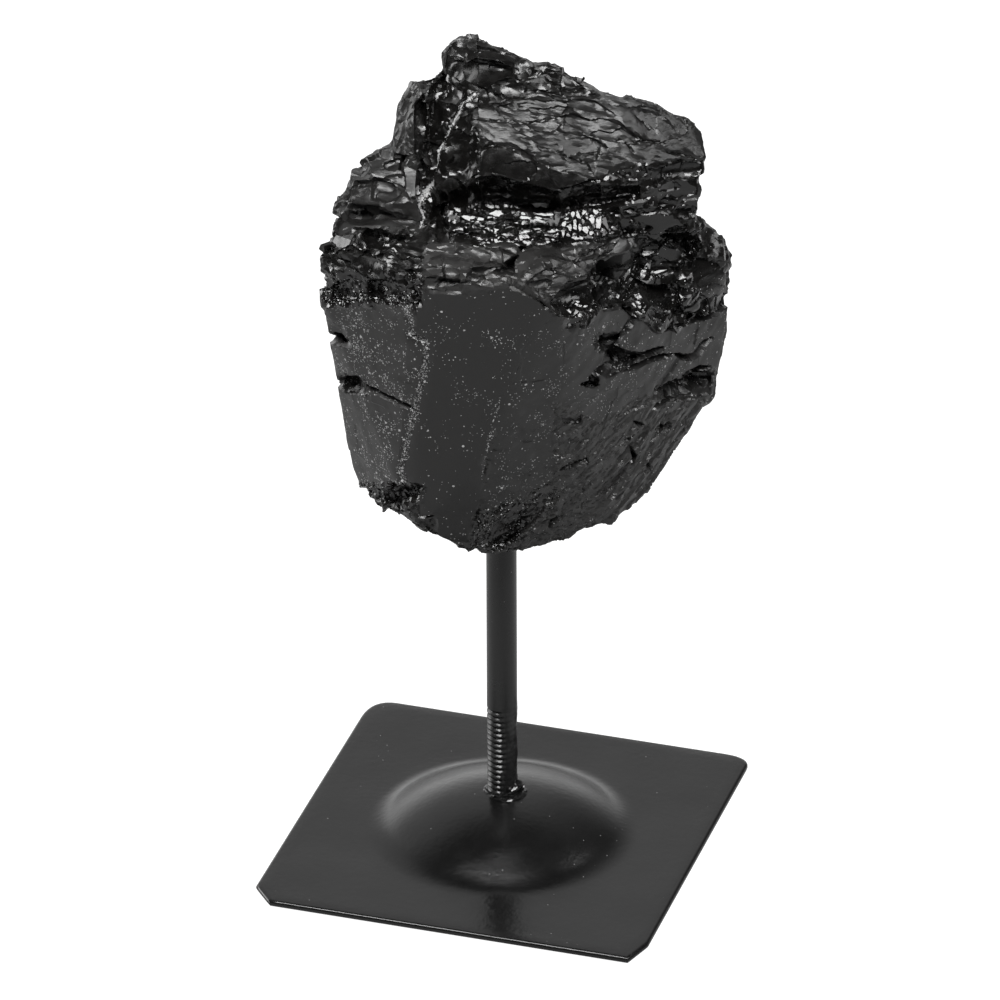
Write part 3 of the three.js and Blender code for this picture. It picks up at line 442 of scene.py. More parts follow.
def inside(q, outline):
    """Signed distance to a closed outline in the slanted view, positive inside."""
    x, y = q[:, 0], q[:, 1]
    nearest = np.full(len(q), 1e9)
    odd = np.zeros(len(q), bool)
    for (ax, ay), (bx, by) in zip(outline, outline[1:] + outline[:1]):
        ex, ey = bx - ax, by - ay
        t = np.clip(((x - ax) * ex + (y - ay) * ey) / (ex * ex + ey * ey), 0, 1)
        nearest = np.minimum(nearest, np.hypot(x - ax - t * ex, y - ay - t * ey))
        crosses = (ay > y) != (by > y)
        with np.errstate(divide="ignore", invalid="ignore"):
            odd ^= crosses & (x < ax + (y - ay) * ex / (ey if ey else 1e-12))
    return np.where(odd, nearest, -nearest)


def read(items, name, width=3, kind=np.float32):
    """What a mesh stores for each of its items."""
    values = np.empty(len(items) * width, kind)
    items.foreach_get(name, values)
    return values.reshape(-1, width)


def smoothed(values, edges, rounds):
    count = np.bincount(edges.ravel(), minlength=len(values))[:, None]
    for _ in range(rounds):
        total = np.empty_like(values)
        for k in range(values.shape[1]):
            total[:, k] = (np.bincount(edges[:, 0], values[edges[:, 1], k], len(values))
                           + np.bincount(edges[:, 1], values[edges[:, 0], k], len(values)))
        values = 0.5 * values + 0.5 * total / count
    return values


def with_modifier(obj, kind, **settings):
    """The mesh of obj with one modifier applied, as a new mesh."""
    modifier = obj.modifiers.new(kind, kind)
    for key, value in settings.items():
        setattr(modifier, key, value)
    evaluated = obj.evaluated_get(bpy.context.evaluated_depsgraph_get())
    mesh = bpy.data.meshes.new_from_object(evaluated)
    obj.modifiers.remove(modifier)
    return mesh


def turned(q, degrees, along, across):
    """Points of the slanted view turned by degrees and squeezed, so that cells run long along that way."""
    a = math.radians(degrees)
    x = q[:, 0] * math.cos(a) + q[:, 1] * math.sin(a)
    y = q[:, 1] * math.cos(a) - q[:, 0] * math.sin(a)
    return np.column_stack((x / along, y / across, q[:, 2] / across))


def to_line(q, line):
    """Distance to a bent line, and which side of it, for every point."""
    x, y = q[:, 0], q[:, 1]
    nearest = np.full(len(q), 1e9)
    side = np.zeros(len(q))
    for (ax, ay), (bx, by) in zip(line, line[1:]):
        ex, ey = bx - ax, by - ay
        t = np.clip(((x - ax) * ex + (y - ay) * ey) / (ex * ex + ey * ey), 0, 1)
        dx, dy = x - ax - t * ex, y - ay - t * ey
        distance = np.hypot(dx, dy)
        closer = distance < nearest
        nearest[closer] = distance[closer]
        side[closer] = np.sign(ex * dy - ey * dx)[closer]
    return nearest, side


def add_bricks(q, wandering, warp, front):
    """How much each point belongs to the bricks, and their height."""
    share = np.zeros(len(q))
    height = np.zeros(len(q))
    for right, up, width, tall, outline in BRICKS:
        weight = fade(inside(wandering, outline), -0.2, 0.2) * front
        brick, joint = blocks(q + 0.25 * warp, (width, tall, 3.0), SEED + 29, 0.05, 0.2, (right, up, 0))
        height += weight * (brick - BRICK_JOINT * joint - height)
        share = np.maximum(share, weight)
    return share, height


def add_faces(q, wandering, front, amount, height):
    """The height with the single broken faces laid over it. They have no spark."""
    for right, up, sunk, outline in FACES:
        weight = fade(inside(wandering, outline), -0.15, 0.25) * front
        middle = np.mean(outline, axis=0)
        plane = right * (q[:, 0] - middle[0]) + up * (q[:, 1] - middle[1]) - sunk
        height += weight * (np.clip(plane, FACE_DEEPEST, FACE_HIGHEST) - 0.85 * height)
        amount["spark"] *= 1 - weight
    return height


def draw_lines(q, shown, rough, height, specks, gloss):
    """Adds the single clefts, ledges and veins to the height and the two masks."""
    for kind, reach, depth, line in [(kind, *one) for kind in LINES for one in LINES[kind]]:
        margin = reach * 2 + 1
        low = np.min(line, axis=0) - margin
        high = np.max(line, axis=0) + margin
        near = np.flatnonzero(shown & np.all((q[:, :2] > low) & (q[:, :2] < high), axis=1))
        distance, side = to_line(q[near], line)
        ends = np.minimum(np.hypot(*(q[near, :2] - line[0]).T), np.hypot(*(q[near, :2] - line[-1]).T))
        taper = fade(ends, 0.0, 2.0)
        if kind == "cleft":
            wide = reach * (0.7 + 0.6 * taper) * (1 + 0.5 * rough[near])
            height[near] -= 2.8 * depth * np.clip(1.15 - distance / wide, 0, 1) * (0.4 + 0.6 * taper)
            gloss[near] += 0.4 * fade(distance, reach * 1.5, 0.0)
        elif kind == "ledge":
            raised = (side > 0) * np.exp(-distance / reach) - 0.5 * (side < 0) * np.exp(-distance / 0.5)
            height[near] += depth * taper * raised
        elif kind == "dust":
            specks[near] = np.maximum(specks[near], depth * fade(distance, reach, reach * 0.3))
        else:
            # pale grains; on the seam they are also painted glints of its crack edge
            crushed = fade(distance, reach * 1.6, reach * 0.5)
            height[near] -= depth * (0.2 + 0.8 * np.abs(rough[near])) * crushed
            specks[near] = np.maximum(specks[near], CRUSHED[kind] * crushed)


def streaks(q, height, degrees, long, wide, octaves, seed, terraces):
    value = fbm(turned(q, degrees, long, wide), 1.0, octaves, SEED + seed)
    return height * (scarps(value, terraces) if terraces else value)


def remeshed_stone():
    """The stone's solid in small, even quads."""
    source = new_object("stone_source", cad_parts["tourmaline"].data.copy())
    mesh = with_modifier(source, "REMESH", mode="VOXEL", voxel_size=VOXEL / 1000)
    bpy.data.objects.remove(source)
    return mesh


def mixed_kinds(wandering, front, edge):
    """How much of each kind every point has, from its region and from the hollow that it lies in."""
    amount = {kind: np.full(len(front), ELSEWHERE.get(kind, 0.0)) for kind in RELIEF_KINDS + SURFACE_KINDS}
    for outline, recipe in REGIONS.values():
        weight = fade(inside(wandering, outline), -0.4, 0.4) * front
        for kind, values in amount.items():
            values += weight * (recipe.get(kind, 0.0) - values)
    hackly = fade(edge, -0.12, -0.45)
    for outline in HACKLY:
        hackly = np.maximum(hackly, fade(inside(wandering, outline), -0.3, 0.5) * front)
    for kind, least in HACKLY_LEAST.items():
        amount[kind] = np.maximum(amount[kind], least * hackly)
    return amount


def breakage(p, q, warp):
    """The height in mm of each kind of relief, and a random number for each broad face."""
    bent = p + 0.7 * warp
    height = {}
    broad, facet = chips(bent, 8.5, SEED + 9, 0.35, 0.2)
    height["broad"] = np.clip(broad - np.median(broad), BROAD_LOWEST, BROAD_HIGHEST)
    height["big"], _ = chips(bent, 4.3, SEED + 11, 0.5, 0.35)
    height["mid"], _ = chips(p + 0.4 * warp, 2.3, SEED + 17, 0.55, 0.35)
    height["bits"], _ = blocks(p + 0.25 * warp, 1.3, SEED + 23, 0.42, 0.5)
    for kind, settings in STREAKS.items():
        height[kind] = streaks(q + 0.5 * warp, *settings)
    upright = bent / (1.0, 1.0, RIDGE_LENGTH) / RIDGE_WIDTH
    height["steep"] = RIDGE_HEIGHT * scarps(fbm(upright, 1.0, 4, SEED + 53), 4.0)
    return height, facet


def write_surface(mesh, p, amount):
    """Puts the moved points and the surface kinds into the mesh."""
    mesh.vertices.foreach_set("co", to_row(p).astype(np.float32).ravel())
    for kind in SURFACE_KINDS:
        layer = mesh.attributes.new(kind, "FLOAT", "POINT")
        layer.data.foreach_set("value", np.clip(amount[kind], 0, 3).astype(np.float32))
    mesh.update()


def thinned(mesh):
    """An object with fewer triangles than the mesh, sharp along its breaks."""
    full = new_object("stone_full", mesh)
    light = with_modifier(full, "DECIMATE", ratio=TRIANGLES / (2 * len(mesh.polygons)))
    bpy.data.objects.remove(full)
    light.shade_smooth()
    light.set_sharp_from_angle(angle=math.radians(20))
    return new_object("stone", light)


def make_stone():
    mesh = remeshed_stone()
    p = to_local(read(mesh.vertices, "co").astype(float))
    edges = read(mesh.edges, "vertices", 2, np.int32)
    normal = smoothed(to_local(read(mesh.vertex_normals, "vector").astype(float) / 1000.0), edges, 10)
    normal /= np.linalg.norm(normal, axis=1)[:, None]
    # how far each point stands out from its surroundings: edges positive, clefts negative
    edge = np.einsum("ij,ij->i", p - smoothed(p, edges, 14), normal)

    q = slanted(p)
    warp = np.column_stack([fbm(p, 4.0, 3, SEED + k) for k in (1, 2, 3)])
    wandering = q[:, :2] + 0.9 * warp[:, :2]
    facing = -normal[:, 1] * math.cos(LEAN) + normal[:, 2] * math.sin(LEAN)
    front = fade(facing, -0.35, 0.0)
    amount = mixed_kinds(wandering, front, edge)
    bricks, brick_height = add_bricks(q, wandering, warp, front)
    for kind in RELIEF_KINDS + ("spark",):
        amount[kind] *= 1 - 0.95 * bricks

    relief, facet = breakage(p, q, warp)
    # each broad face is smooth or rough on its own, and there are smooth and rough patches
    rough = fade(facet, 0.25, 0.75) * fade(fbm(p, 9.0, 2, SEED + 67), -0.3, 0.3)
    patchy = 0.25 + rough
    patchy = 1 + (patchy - 1) * fade(amount["broad"], 0.1, 0.3)
    for kind in ("mid", "bits", "flat", "flake", "spark"):
        amount[kind] *= patchy
    height = np.zeros(len(p))
    for kind, part in relief.items():
        height += amount[kind] * part
    height = add_faces(q, wandering, front, amount, height + brick_height)
    chipped = fade(edge, 0.12, 0.6)
    height -= chipped * (0.2 + 0.5 * np.abs(relief["bits"]))
    height += 0.05 * fbm(p, 7.0, 2, SEED + 61)
    draw_lines(q + 0.15 * warp, facing > -0.25, relief["bits"], height, amount["specks"], amount["gloss"])
    write_surface(mesh, p + normal * height[:, None], amount)
    return thinned(mesh)


# ---- the stand's fine meshes, in mm, with the sizes of its solids
PLATE_SIDE = 85.0
SHEET = 1.5
LIP_ROUND = 0.7
# Corner cuts: along the front or back edge, along the side edge.
CORNER_FRONT_LEFT = (4.6, 5.3)
CORNER_FRONT_RIGHT = (2.2, 7.0)
CORNER_BACK_RIGHT = (5.5, 3.9)
CORNER_BACK_LEFT = (5.5, 7.7)
CROWN_RADIUS = 41.0
FLANK_ANGLE = math.radians(34)
FLANK_LENGTH = 1.2
FOOT_FILLET = 9.0
LAND_RADIUS = 4.0
DOME_RISE = (CROWN_RADIUS + FOOT_FILLET) * (1 - math.cos(FLANK_ANGLE)) + FLANK_LENGTH * math.sin(FLANK_ANGLE)
ROD_FOOT = SHEET + DOME_RISE - (CROWN_RADIUS - math.sqrt(CROWN_RADIUS ** 2 - LAND_RADIUS ** 2))
ROD_RADIUS = 3.175
ROD_TOP = 100.0  # inside the stone
THREAD_PITCH = 1.27
THREAD_DEPTH = 0.5
THREAD_FOOT = ROD_FOOT + 0.4
THREAD_TOP = THREAD_FOOT + 16.5 * THREAD_PITCH
SHEET_WAVES = 0.09  # high
SHEET_WAVE_LENGTH = 17.0
FIRST_WAVY = 4  # rings inside this one lie under the weld
FLAT_RINGS = 8
# Where paint has run down the rod and filled its thread, in radians from the viewer's right.
RUN_START = (-1.8, -1.45)
RUN_END = (1.2, 0.7)
RUN_THICKNESS = 0.22
RUN_FILL = 0.97  # share of the thread's depth
BEAD_REACH = 4.2
BEAD_HEIGHT = 1.1
LUMP_REACH = 1.2
LUMP_HEIGHT = 2.3
LUMP_SIDE = math.radians(-10)


def skin(name, rings, sharp=35):
    """A closed mesh over rings of equally many points, with flat ends."""
    n = len(rings[0])
    faces = []
    for k in range(len(rings) - 1):
        a, b = k * n, (k + 1) * n
        faces += [(a + i, a + (i + 1) % n, b + (i + 1) % n, b + i) for i in range(n)]
    last = (len(rings) - 1) * n
    faces += [tuple(range(n))[::-1], tuple(range(last, last + n))]
    mesh = bpy.data.meshes.new(name)
    mesh.from_pydata((np.vstack(rings) / 1000.0).tolist(), [], faces)
    mesh.shade_smooth()
    mesh.set_sharp_from_angle(angle=math.radians(sharp))
    return new_object(name, mesh)


def ring(radius, angles, height):
    height = np.zeros(len(angles)) + height
    return np.column_stack((radius * np.cos(angles), radius * np.sin(angles), height))


def dome_wall(crown, fillet, top):
    """Radius and height of one side of the dome's wall, from near the middle outwards."""
    points = []
    for a in np.linspace(0.02, 1, 26) * FLANK_ANGLE:
        points.append((crown * math.sin(a), top - crown * (1 - math.cos(a))))
    r = points[-1][0] + FLANK_LENGTH * math.cos(FLANK_ANGLE) + fillet * math.sin(FLANK_ANGLE)
    z = points[-1][1] - FLANK_LENGTH * math.sin(FLANK_ANGLE) + fillet * math.cos(FLANK_ANGLE)
    for a in np.linspace(1, 0, 9) * FLANK_ANGLE:
        points.append((r - fillet * math.sin(a), z - fillet * math.cos(a)))
    return points


def plate_outline(inset):
    h = PLATE_SIDE / 2 - inset
    corners = [(-h + CORNER_FRONT_LEFT[0], -h), (h - CORNER_FRONT_RIGHT[0], -h),
               (h, -h + CORNER_FRONT_RIGHT[1])]
    for (cx, cy), (along, up) in (((h, h), CORNER_BACK_RIGHT), ((-h, h), CORNER_BACK_LEFT)):
        for t in np.linspace(0, 1, 9):
            if cx < 0:
                t = 1 - t
            a, b = (1 - t) ** 2, t ** 2
            side, back = (cx, cy - up), (cx - math.copysign(along, cx), cy)
            corners.append((a * side[0] + 2 * t * (1 - t) * cx + b * back[0],
                            a * side[1] + 2 * t * (1 - t) * cy + b * back[1]))
    corners.append((-h, -h + CORNER_FRONT_LEFT[1]))
    return corners


def outline_radius(angles, inset):
    """Distance from the middle to the plate's outline in each direction."""
    corners = plate_outline(inset)
    way = np.column_stack((np.cos(angles), np.sin(angles)))
    reach = np.full(len(angles), 1e9)
    for (ax, ay), (bx, by) in zip(corners, corners[1:] + corners[:1]):
        nx, ny = by - ay, ax - bx
        toward = way[:, 0] * nx + way[:, 1] * ny
        far = (ax * nx + ay * ny) / np.maximum(toward, 1e-9)
        reach = np.minimum(reach, np.where(toward > 1e-9, far, 1e9))
    return reach


def make_plate():
    corners = [math.atan2(y, x) % (2 * math.pi) for x, y in plate_outline(LIP_ROUND)]
    angles = np.unique(np.round(np.concatenate((np.arange(160) * math.pi / 80, corners)), 4))
    dome = dome_wall(CROWN_RADIUS, FOOT_FILLET, SHEET + DOME_RISE)
    rings = [ring(r, angles, min(z, ROD_FOOT)) for r, z in dome]
    foot = dome[-1][0]
    rim = outline_radius(angles, LIP_ROUND)
    for share in np.linspace(0, 1, FLAT_RINGS + 1)[1:]:
        rings.append(ring(foot + (rim - foot) * share, angles, SHEET))
    for a in np.linspace(0, math.pi / 2, 6)[1:]:
        reach = outline_radius(angles, LIP_ROUND * (1 - math.sin(a)))
        rings.append(ring(reach, angles, SHEET - LIP_ROUND * (1 - math.cos(a))))
    for a in np.linspace(math.pi / 2, 0, 6):
        reach = outline_radius(angles, LIP_ROUND * (1 - math.sin(a)))
        rings.append(ring(reach, angles, LIP_ROUND * (1 - math.cos(a))))
    hollow = dome_wall(CROWN_RADIUS - SHEET, FOOT_FILLET + SHEET, DOME_RISE)
    rings += [ring(r, angles, z) for r, z in reversed(hollow)]
    for here in rings[FIRST_WAVY:len(dome) + FLAT_RINGS - 1]:
        here[:, 2] += SHEET_WAVES * fbm(here, SHEET_WAVE_LENGTH, 2, SEED + 71)
    return skin("plate", rings[::-1])


def make_rod():
    angles = np.arange(72) * math.pi / 36
    facing = (angles - STONE_TURN + math.pi) % (2 * math.pi) - math.pi  # 0 is the viewer's right
    heights = np.concatenate(([ROD_FOOT], np.arange(THREAD_FOOT, THREAD_TOP + 3, THREAD_PITCH / 10),
                              np.linspace(THREAD_TOP + 4, ROD_TOP, 24)))
    rings = []
    for z in heights:
        turn = ((z - THREAD_FOOT) / THREAD_PITCH - angles / (2 * math.pi)) % 1.0
        crest = np.clip(1.35 * (1 - np.abs(2 * turn - 1)), 0, 1)
        here = ring(ROD_RADIUS, angles, z)
        cut = THREAD_DEPTH * fade(z, THREAD_FOOT - 0.5, THREAD_FOOT + 0.6)
        cut *= fade(z, THREAD_TOP, THREAD_TOP - 1.2)
        edge = 0.25 * noise(here, 2.5, SEED + 81)
        filled = fade(facing + edge, *RUN_START) * fade(facing + edge, *RUN_END)
        run = filled * fade(z, THREAD_TOP + 3, THREAD_TOP - 1)
        lumps = np.maximum(fbm(here / (1, 1, 2.2), 1.5, 3, SEED + 83), -0.2)
        here_radius = ROD_RADIUS - cut * (1 - crest) * (1 - RUN_FILL * filled) + run * RUN_THICKNESS * lumps
        rings.append(ring(here_radius, angles, z))
    return skin("pin", rings)


def make_weld():
    angles = np.arange(96) * math.pi / 48
    lump = np.maximum(0, np.cos(angles - LUMP_SIDE)) ** 2
    inner = ROD_RADIUS + 0.02
    reach = BEAD_REACH - inner + LUMP_REACH * lump
    height = BEAD_HEIGHT + LUMP_HEIGHT * lump
    rings = []
    for share in np.linspace(0, 1, 15):
        a = share * math.pi / 2
        rings.append(ring(inner + reach * math.sin(a), angles, ROD_FOOT - 0.15 + height * math.cos(a)))
    body = np.vstack(rings)
    crumple, _ = chips(body * (1, 1, 1.3), 1.9, SEED + 92, 0.9, 0.15)
    for k, here in enumerate(rings):
        push = crumple[k * len(angles):(k + 1) * len(angles)] * min(1.0, (14 - k) / 3) * 0.8
        away = here - (0, 0, ROD_FOOT)
        away[:, :2] *= 1 - (ROD_RADIUS - 0.4) / np.hypot(here[:, 0], here[:, 1])[:, None]
        here += away / np.linalg.norm(away, axis=1)[:, None] * push[:, None]
    rings.insert(0, ring(inner - 0.6, angles, rings[0][:, 2]))
    rings.append(ring(inner - 0.6, angles, ROD_FOOT - 0.15))
    return skin("weld", rings[::-1], 20)


# ---- node materials
class Graph:
    """Shorthands for building a node tree."""

    def __init__(self, tree):
        self.tree = tree
        tree.nodes.clear()

    def add(self, kind, inputs=None, **settings):
        node = self.tree.nodes.new("ShaderNode" + kind)
        for key, value in settings.items():
            setattr(node, key, value)
        for key, value in (inputs or {}).items():
            if isinstance(value, bpy.types.NodeSocket):
                self.tree.links.new(value, node.inputs[key])
            else:
                node.inputs[key].default_value = value
        return node

    def math(self, operation, a, b=0.0, clamp=False):
        return self.add("Math", {0: a, 1: b}, operation=operation, use_clamp=clamp).outputs[0]

    def ramp(self, value, low, high, to_low=0.0, to_high=1.0):
        """From to_low at low to to_high at high, with soft ends."""
        limits = {"From Min": low, "From Max": high, "To Min": to_low, "To Max": to_high}
        return self.add("MapRange", {"Value": value, **limits},
                        interpolation_type="SMOOTHSTEP").outputs["Result"]

    def blend(self, factor, a, b):
        return self.add("Mix", {0: factor, 6: a, 7: b}, data_type="RGBA").outputs[2]

    def noise(self, where, size_mm, detail, roughness=0.5):
        return self.add("TexNoise", {"Vector": where, "Scale": 1000.0 / size_mm, "Detail": detail,
                                     "Roughness": roughness}).outputs["Fac"]

    def vector(self, operation, a, b=(0.0, 0.0, 0.0), output="Vector"):
        return self.add("VectorMath", {0: a, 1: b}, operation=operation).outputs[output]

    def turned_coordinates(self, space):
        """Coordinates in which the stone's broad front looks along -Y."""
        where = self.add("TexCoord").outputs[space]
        return self.add("VectorRotate", {"Vector": where, "Angle": -STONE_TURN},
                        rotation_type="Z_AXIS").outputs[0]

    def cells(self, where, size_mm):
        return self.add("TexVoronoi", {"Vector": where, "Scale": 1000.0 / size_mm})

    def grains(self, where, size_mm, outer, inner, share, grown=0.0):
        """Round grains in a share of the cells, from outer to inner in radius, measured in cells."""
        cell = self.cells(where, size_mm)
        near = self.ramp(self.math("SUBTRACT", cell.outputs["Distance"], grown), outer, inner)
        pick = self.add("SeparateColor", {"Color": cell.outputs["Color"]}).outputs["Red"]
        return self.math("MULTIPLY", near, self.math("LESS_THAN", pick, share))

    def bump(self, height, distance_mm, strength, normal=None):
        inputs = {"Height": height, "Distance": distance_mm / 1000.0, "Strength": strength}
        if normal is not None:
            inputs["Normal"] = normal
        return self.add("Bump", inputs).outputs["Normal"]


def grey(value, tint=0.0):
    return (value * (1 + tint), value, value * (1 - tint), 1.0)


def new_material(name):
    material = bpy.data.materials.new(name)
    material.use_nodes = True
    g = Graph(material.node_tree)
    shader = g.add("BsdfPrincipled")
    out = g.add("OutputMaterial")
    material.node_tree.links.new(shader.outputs[0], out.inputs["Surface"])
    where = g.add("TexCoord").outputs["Object"]
    return material, g, shader, where


def connect(g, shader, colour, roughness, normal):
    for key, value in (("Base Color", colour), ("Roughness", roughness), ("Normal", normal)):
        g.tree.links.new(value, shader.inputs[key])


STONE_BLACK = grey(0.002)
STONE_LIGHTEST = grey(0.007, 0.08)
STONE_FILM = grey(0.018, 0.03)
# colour of the pale grains; along the seam it is also a painted highlight
STONE_GRAINS = grey(0.45)
SATIN = 0.40  # roughness
GLASSY = 0.12
GRAIN_SIZES = ((0.26, 0.7), (0.42, 0.8), (0.85, 0.3))  # mm across, and how many of them


def pale_grains(g, where, specks):
    """Ragged pale grains left on the stone, crowded where a coarser cloud lets them through. Along the seam,
    where they grow and run together, they also stand as painted glints of its crack edge.
    """
    wobble = g.add("TexNoise", {"Vector": where, "Scale": 2500.0, "Detail": 1.0}).outputs["Color"]
    ragged = g.vector("ADD", where, g.vector("MULTIPLY", wobble, (0.0003, 0.0003, 0.0003)))
    crowd = g.ramp(g.noise(where, 5.0, 5.0, 0.65), 0.45, 0.66, 0.06, 1.0)
    crowd = g.math("MAXIMUM", crowd, g.math("SUBTRACT", specks, 1.0))
    share = g.math("MULTIPLY", specks, g.math("MULTIPLY", crowd, 0.55))
    grown = g.ramp(specks, CRUSHED["vein"], CRUSHED["seam"], 0.0, 0.2)
    white = 0.0
    for size, part in GRAIN_SIZES:
        grains = g.grains(ragged, size, 0.42, 0.22, g.math("MULTIPLY", share, part), grown)
        white = g.math("MAXIMUM", white, grains)
    return white


def tilted_normal(g, where, spark):
    """The surface's normal, tilted a little in each tiny cell of its own."""
    tilt = g.vector("SUBTRACT", g.cells(where, 0.7).outputs["Color"], (0.5, 0.5, 0.5))
    tilt = g.add("VectorMath", {0: tilt, "Scale": spark}, operation="SCALE").outputs[0]
    normal = g.add("NewGeometry").outputs["Normal"]
    return g.vector("NORMALIZE", g.vector("ADD", normal, tilt))


def stone_material():
    material, g, shader, where = new_material("tourmaline")
    shader.inputs["IOR"].default_value = 1.6
    gloss, dull, specks, spark, crinkle = (g.add("Attribute", attribute_name=kind).outputs["Fac"]
                                           for kind in SURFACE_KINDS)
    white = pale_grains(g, where, specks)
    cloud = g.noise(where, 2.4, 3.0)
    film = g.math("MULTIPLY", dull, g.ramp(g.noise(where, 6.0, 5.0, 0.6), 0.35, 0.65, 0.4, 1.2))
    colour = g.blend(film, g.blend(cloud, STONE_BLACK, STONE_LIGHTEST), STONE_FILM)
    # pale grains, and along the seam painted glints
    colour = g.blend(white, colour, STONE_GRAINS)
    rough = g.math("ADD", g.ramp(gloss, 0.0, 1.0, SATIN, GLASSY), g.ramp(cloud, 0.3, 0.7, -0.04, 0.06))
    rough = g.math("ADD", rough, g.math("MULTIPLY", white, 0.2), clamp=True)
    layers = g.add("Mapping", {"Vector": where, "Scale": (0.4, 0.4, 1.0)}).outputs[0]
    bumps = g.math("MULTIPLY", g.noise(layers, 1.1, 4.0, 0.6), crinkle)
    normal = g.bump(bumps, 0.22, 1.0, tilted_normal(g, where, spark))
    normal = g.bump(g.noise(where, 0.35, 4.0, 0.62), 0.04, 0.6, normal)
    normal = g.bump(white, 0.06, 0.6, normal)
    connect(g, shader, colour, rough, normal)
    return material


def paint_material(name, level, roughness, peel, waviness):
    """Black paint with a little dust on it; its skin has ripples, peel mm wide and waviness mm deep."""
    material, g, shader, where = new_material(name)
    shader.inputs["IOR"].default_value = 1.5
    cloud = g.noise(where, 9.0, 4.0)
    crowd = g.ramp(g.noise(where, 16.0, 3.0), 0.52, 0.68, 0.03, 0.4)
    dusty = g.grains(where, 1.3, 0.14, 0.05, crowd)
    colour = g.blend(cloud, grey(level * 0.8), grey(level * 1.25))
    colour = g.blend(dusty, colour, grey(0.16))
    rough = g.ramp(cloud, 0.25, 0.75, roughness - 0.04, roughness + 0.05)
    normal = g.bump(g.noise(where, peel, 2.0), waviness, 0.7)
    normal = g.bump(dusty, 0.06, 0.5, normal)
    connect(g, shader, colour, rough, normal)
    return material


# ---- floor, light and the whole
FLOOR_REACH = 14.0  # m
FLOOR_SIDES = 64
FLOOR_HEIGHT = -0.0002  # m, clear of the plate
FLOOR_GREY = 0.22
FLOOR_GLOW = 0.17
SWEEP_MIDDLE = (0.0, 0.9, 0.0)  # m, behind the stone
SHADE_MIDDLE = (0.08, -0.14, 0.0)  # m, before it


def floor_light(g):
    """A bright sweep under and behind the stone, which ends in front and fades to the sides, with the
    stone's shade before it, and a little brighter to the right."""
    where = g.turned_coordinates("Object")
    across = g.add("SeparateXYZ", {"Vector": where}).outputs["X"]
    sweep = g.ramp(g.vector("DISTANCE", where, SWEEP_MIDDLE, "Value"), 1.15, 1.6, 1.8, 0.06)
    shade = g.ramp(g.vector("DISTANCE", where, SHADE_MIDDLE, "Value"), 0.10, 0.24, 0.5, 1.0)
    lit = g.math("MULTIPLY", sweep, shade)
    lit = g.math("MULTIPLY", lit, g.ramp(across, 0.03, 0.13, 1.0, 1.3))
    return g.math("MULTIPLY", lit, g.ramp(g.math("ABSOLUTE", across), 0.18, 0.42, 1.0, 0.12))


def make_floor():
    """A floor that is plain white to the camera, and the studio's floor to everything that reflects it."""
    rim = ring(FLOOR_REACH, np.arange(FLOOR_SIDES) * 2 * math.pi / FLOOR_SIDES, FLOOR_HEIGHT)
    mesh = bpy.data.meshes.new("floor")
    mesh.from_pydata(rim.tolist(), [], [list(range(FLOOR_SIDES))])
    floor = new_object("floor", mesh)
    material = bpy.data.materials.new("floor_white")
    material.use_nodes = True
    g = Graph(material.node_tree)
    seen = g.add("LightPath").outputs["Is Camera Ray"]
    lit = floor_light(g)
    paper = g.add("BsdfDiffuse", {"Color": g.blend(lit, grey(0.0), grey(FLOOR_GREY))})
    level = g.math("MAXIMUM", seen, g.math("MULTIPLY", lit, FLOOR_GLOW))
    glow = g.add("Emission", {"Color": grey(1.0), "Strength": level})
    both = g.add("AddShader", {0: paper.outputs[0], 1: glow.outputs[0]})
    g.add("OutputMaterial", {"Surface": both.outputs[0]})
    floor.data.materials.append(material)


def direction(azimuth, elevation):
    """Unit vector; azimuth 0 is towards the viewer's side of the stone, positive to its right."""
    a, e = math.radians(azimuth) + STONE_TURN, math.radians(elevation)
    return Vector((math.sin(a) * math.cos(e), -math.cos(a) * math.cos(e), math.sin(e)))


LIGHTS_AIM = Vector((0, 0, 0.11))  # m


def soft_light(name, azimuth, elevation, distance, width, height, radiance):
    data = bpy.data.lights.new(name, "AREA")
    data.shape = "RECTANGLE"
    data.size, data.size_y = width, height
    data.energy = radiance * math.pi * width * height
    light = new_object(name, data)
    towards = direction(azimuth, elevation)
    light.location = LIGHTS_AIM + towards * distance
    light.rotation_mode = "QUATERNION"
    light.rotation_quaternion = towards.to_track_quat("Z", "Y")


ROOM_LIGHT = 0.02
PANEL_AZIMUTH = -113
PANEL_ELEVATION = 8
PANEL_EDGE = math.radians(24)
PANEL_CORE = math.radians(9)
PANEL_LIGHT = 4.5


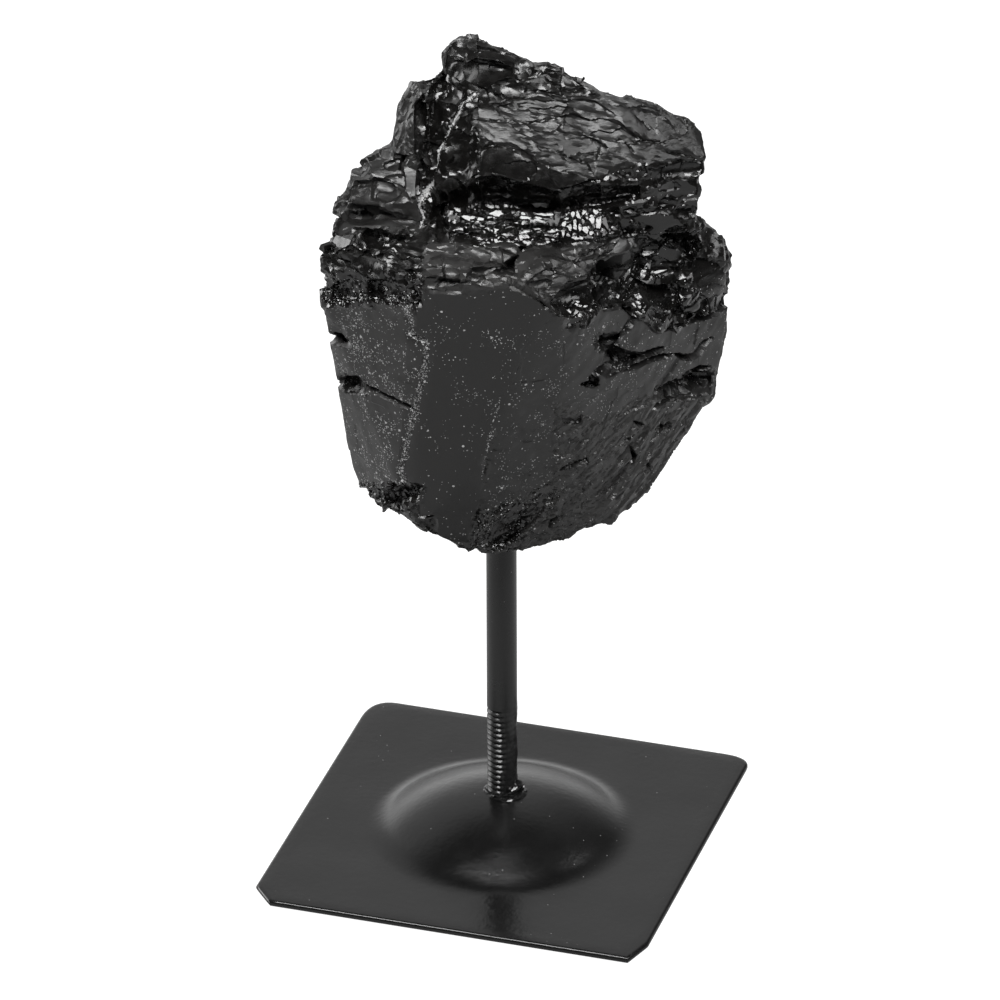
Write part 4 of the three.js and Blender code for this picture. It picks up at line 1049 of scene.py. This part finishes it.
def back_wall(g, way):
    """A white wall behind, that ends overhead and to the right and is brighter low down."""
    axes = g.add("SeparateXYZ", {"Vector": way}).outputs
    wall = g.math("MULTIPLY", g.ramp(axes["Y"], 0.0, 0.6), g.ramp(axes["Z"], 0.96, 0.72))
    wall = g.math("MULTIPLY", wall, g.ramp(axes["Z"], 0.12, 0.46, 1.35, 0.6))
    return g.math("MULTIPLY", wall, g.ramp(axes["X"], 0.7, 0.0, 0.1, 1.0))


def left_panel(g, way):
    """A soft round panel on the left."""
    middle = direction(PANEL_AZIMUTH, PANEL_ELEVATION)
    middle.rotate(Matrix.Rotation(-STONE_TURN, 3, "Z"))
    near = g.vector("DOT_PRODUCT", way, tuple(middle), "Value")
    return g.ramp(near, math.cos(PANEL_EDGE), math.cos(PANEL_CORE), 0.0, PANEL_LIGHT)


def make_world():
    """A dim room with a white wall and a panel, plain white to the camera."""
    world = bpy.data.worlds.new("studio")
    bpy.context.scene.world = world
    world.use_nodes = True
    g = Graph(world.node_tree)
    way = g.turned_coordinates("Generated")
    level = g.math("ADD", g.math("ADD", back_wall(g, way), left_panel(g, way)), ROOM_LIGHT)
    seen = g.add("LightPath").outputs["Is Camera Ray"]
    light = g.add("Background", {"Color": grey(1.0), "Strength": g.math("MAXIMUM", seen, level)})
    g.add("OutputWorld", {"Surface": light.outputs[0]})


make_floor()
make_world()
soft_light("front_softbox", -12, 60, 1.3, 1.5, 0.38, 16.0)
soft_light("right_softbox", 74, 40, 1.3, 1.1, 0.5, 3.6)

stone = make_stone()
stone.data.materials.clear()
stone.data.materials.append(stone_material())
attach(stone, "root")
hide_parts("tourmaline")

for piece, node, slot, level, roughness, peel, waviness in (
        (make_plate(), "base_plate", "plate_paint", 0.004, 0.22, 1.1, 0.06),
        (make_rod(), "rod", "rod_paint", 0.010, 0.28, 0.8, 0.045),
        (make_weld(), "weld_bead", "weld_paint", 0.006, 0.14, 0.8, 0.045)):
    piece.data.materials.append(paint_material(slot, level, roughness, peel, waviness))
    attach(piece, "root")
    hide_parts(node)
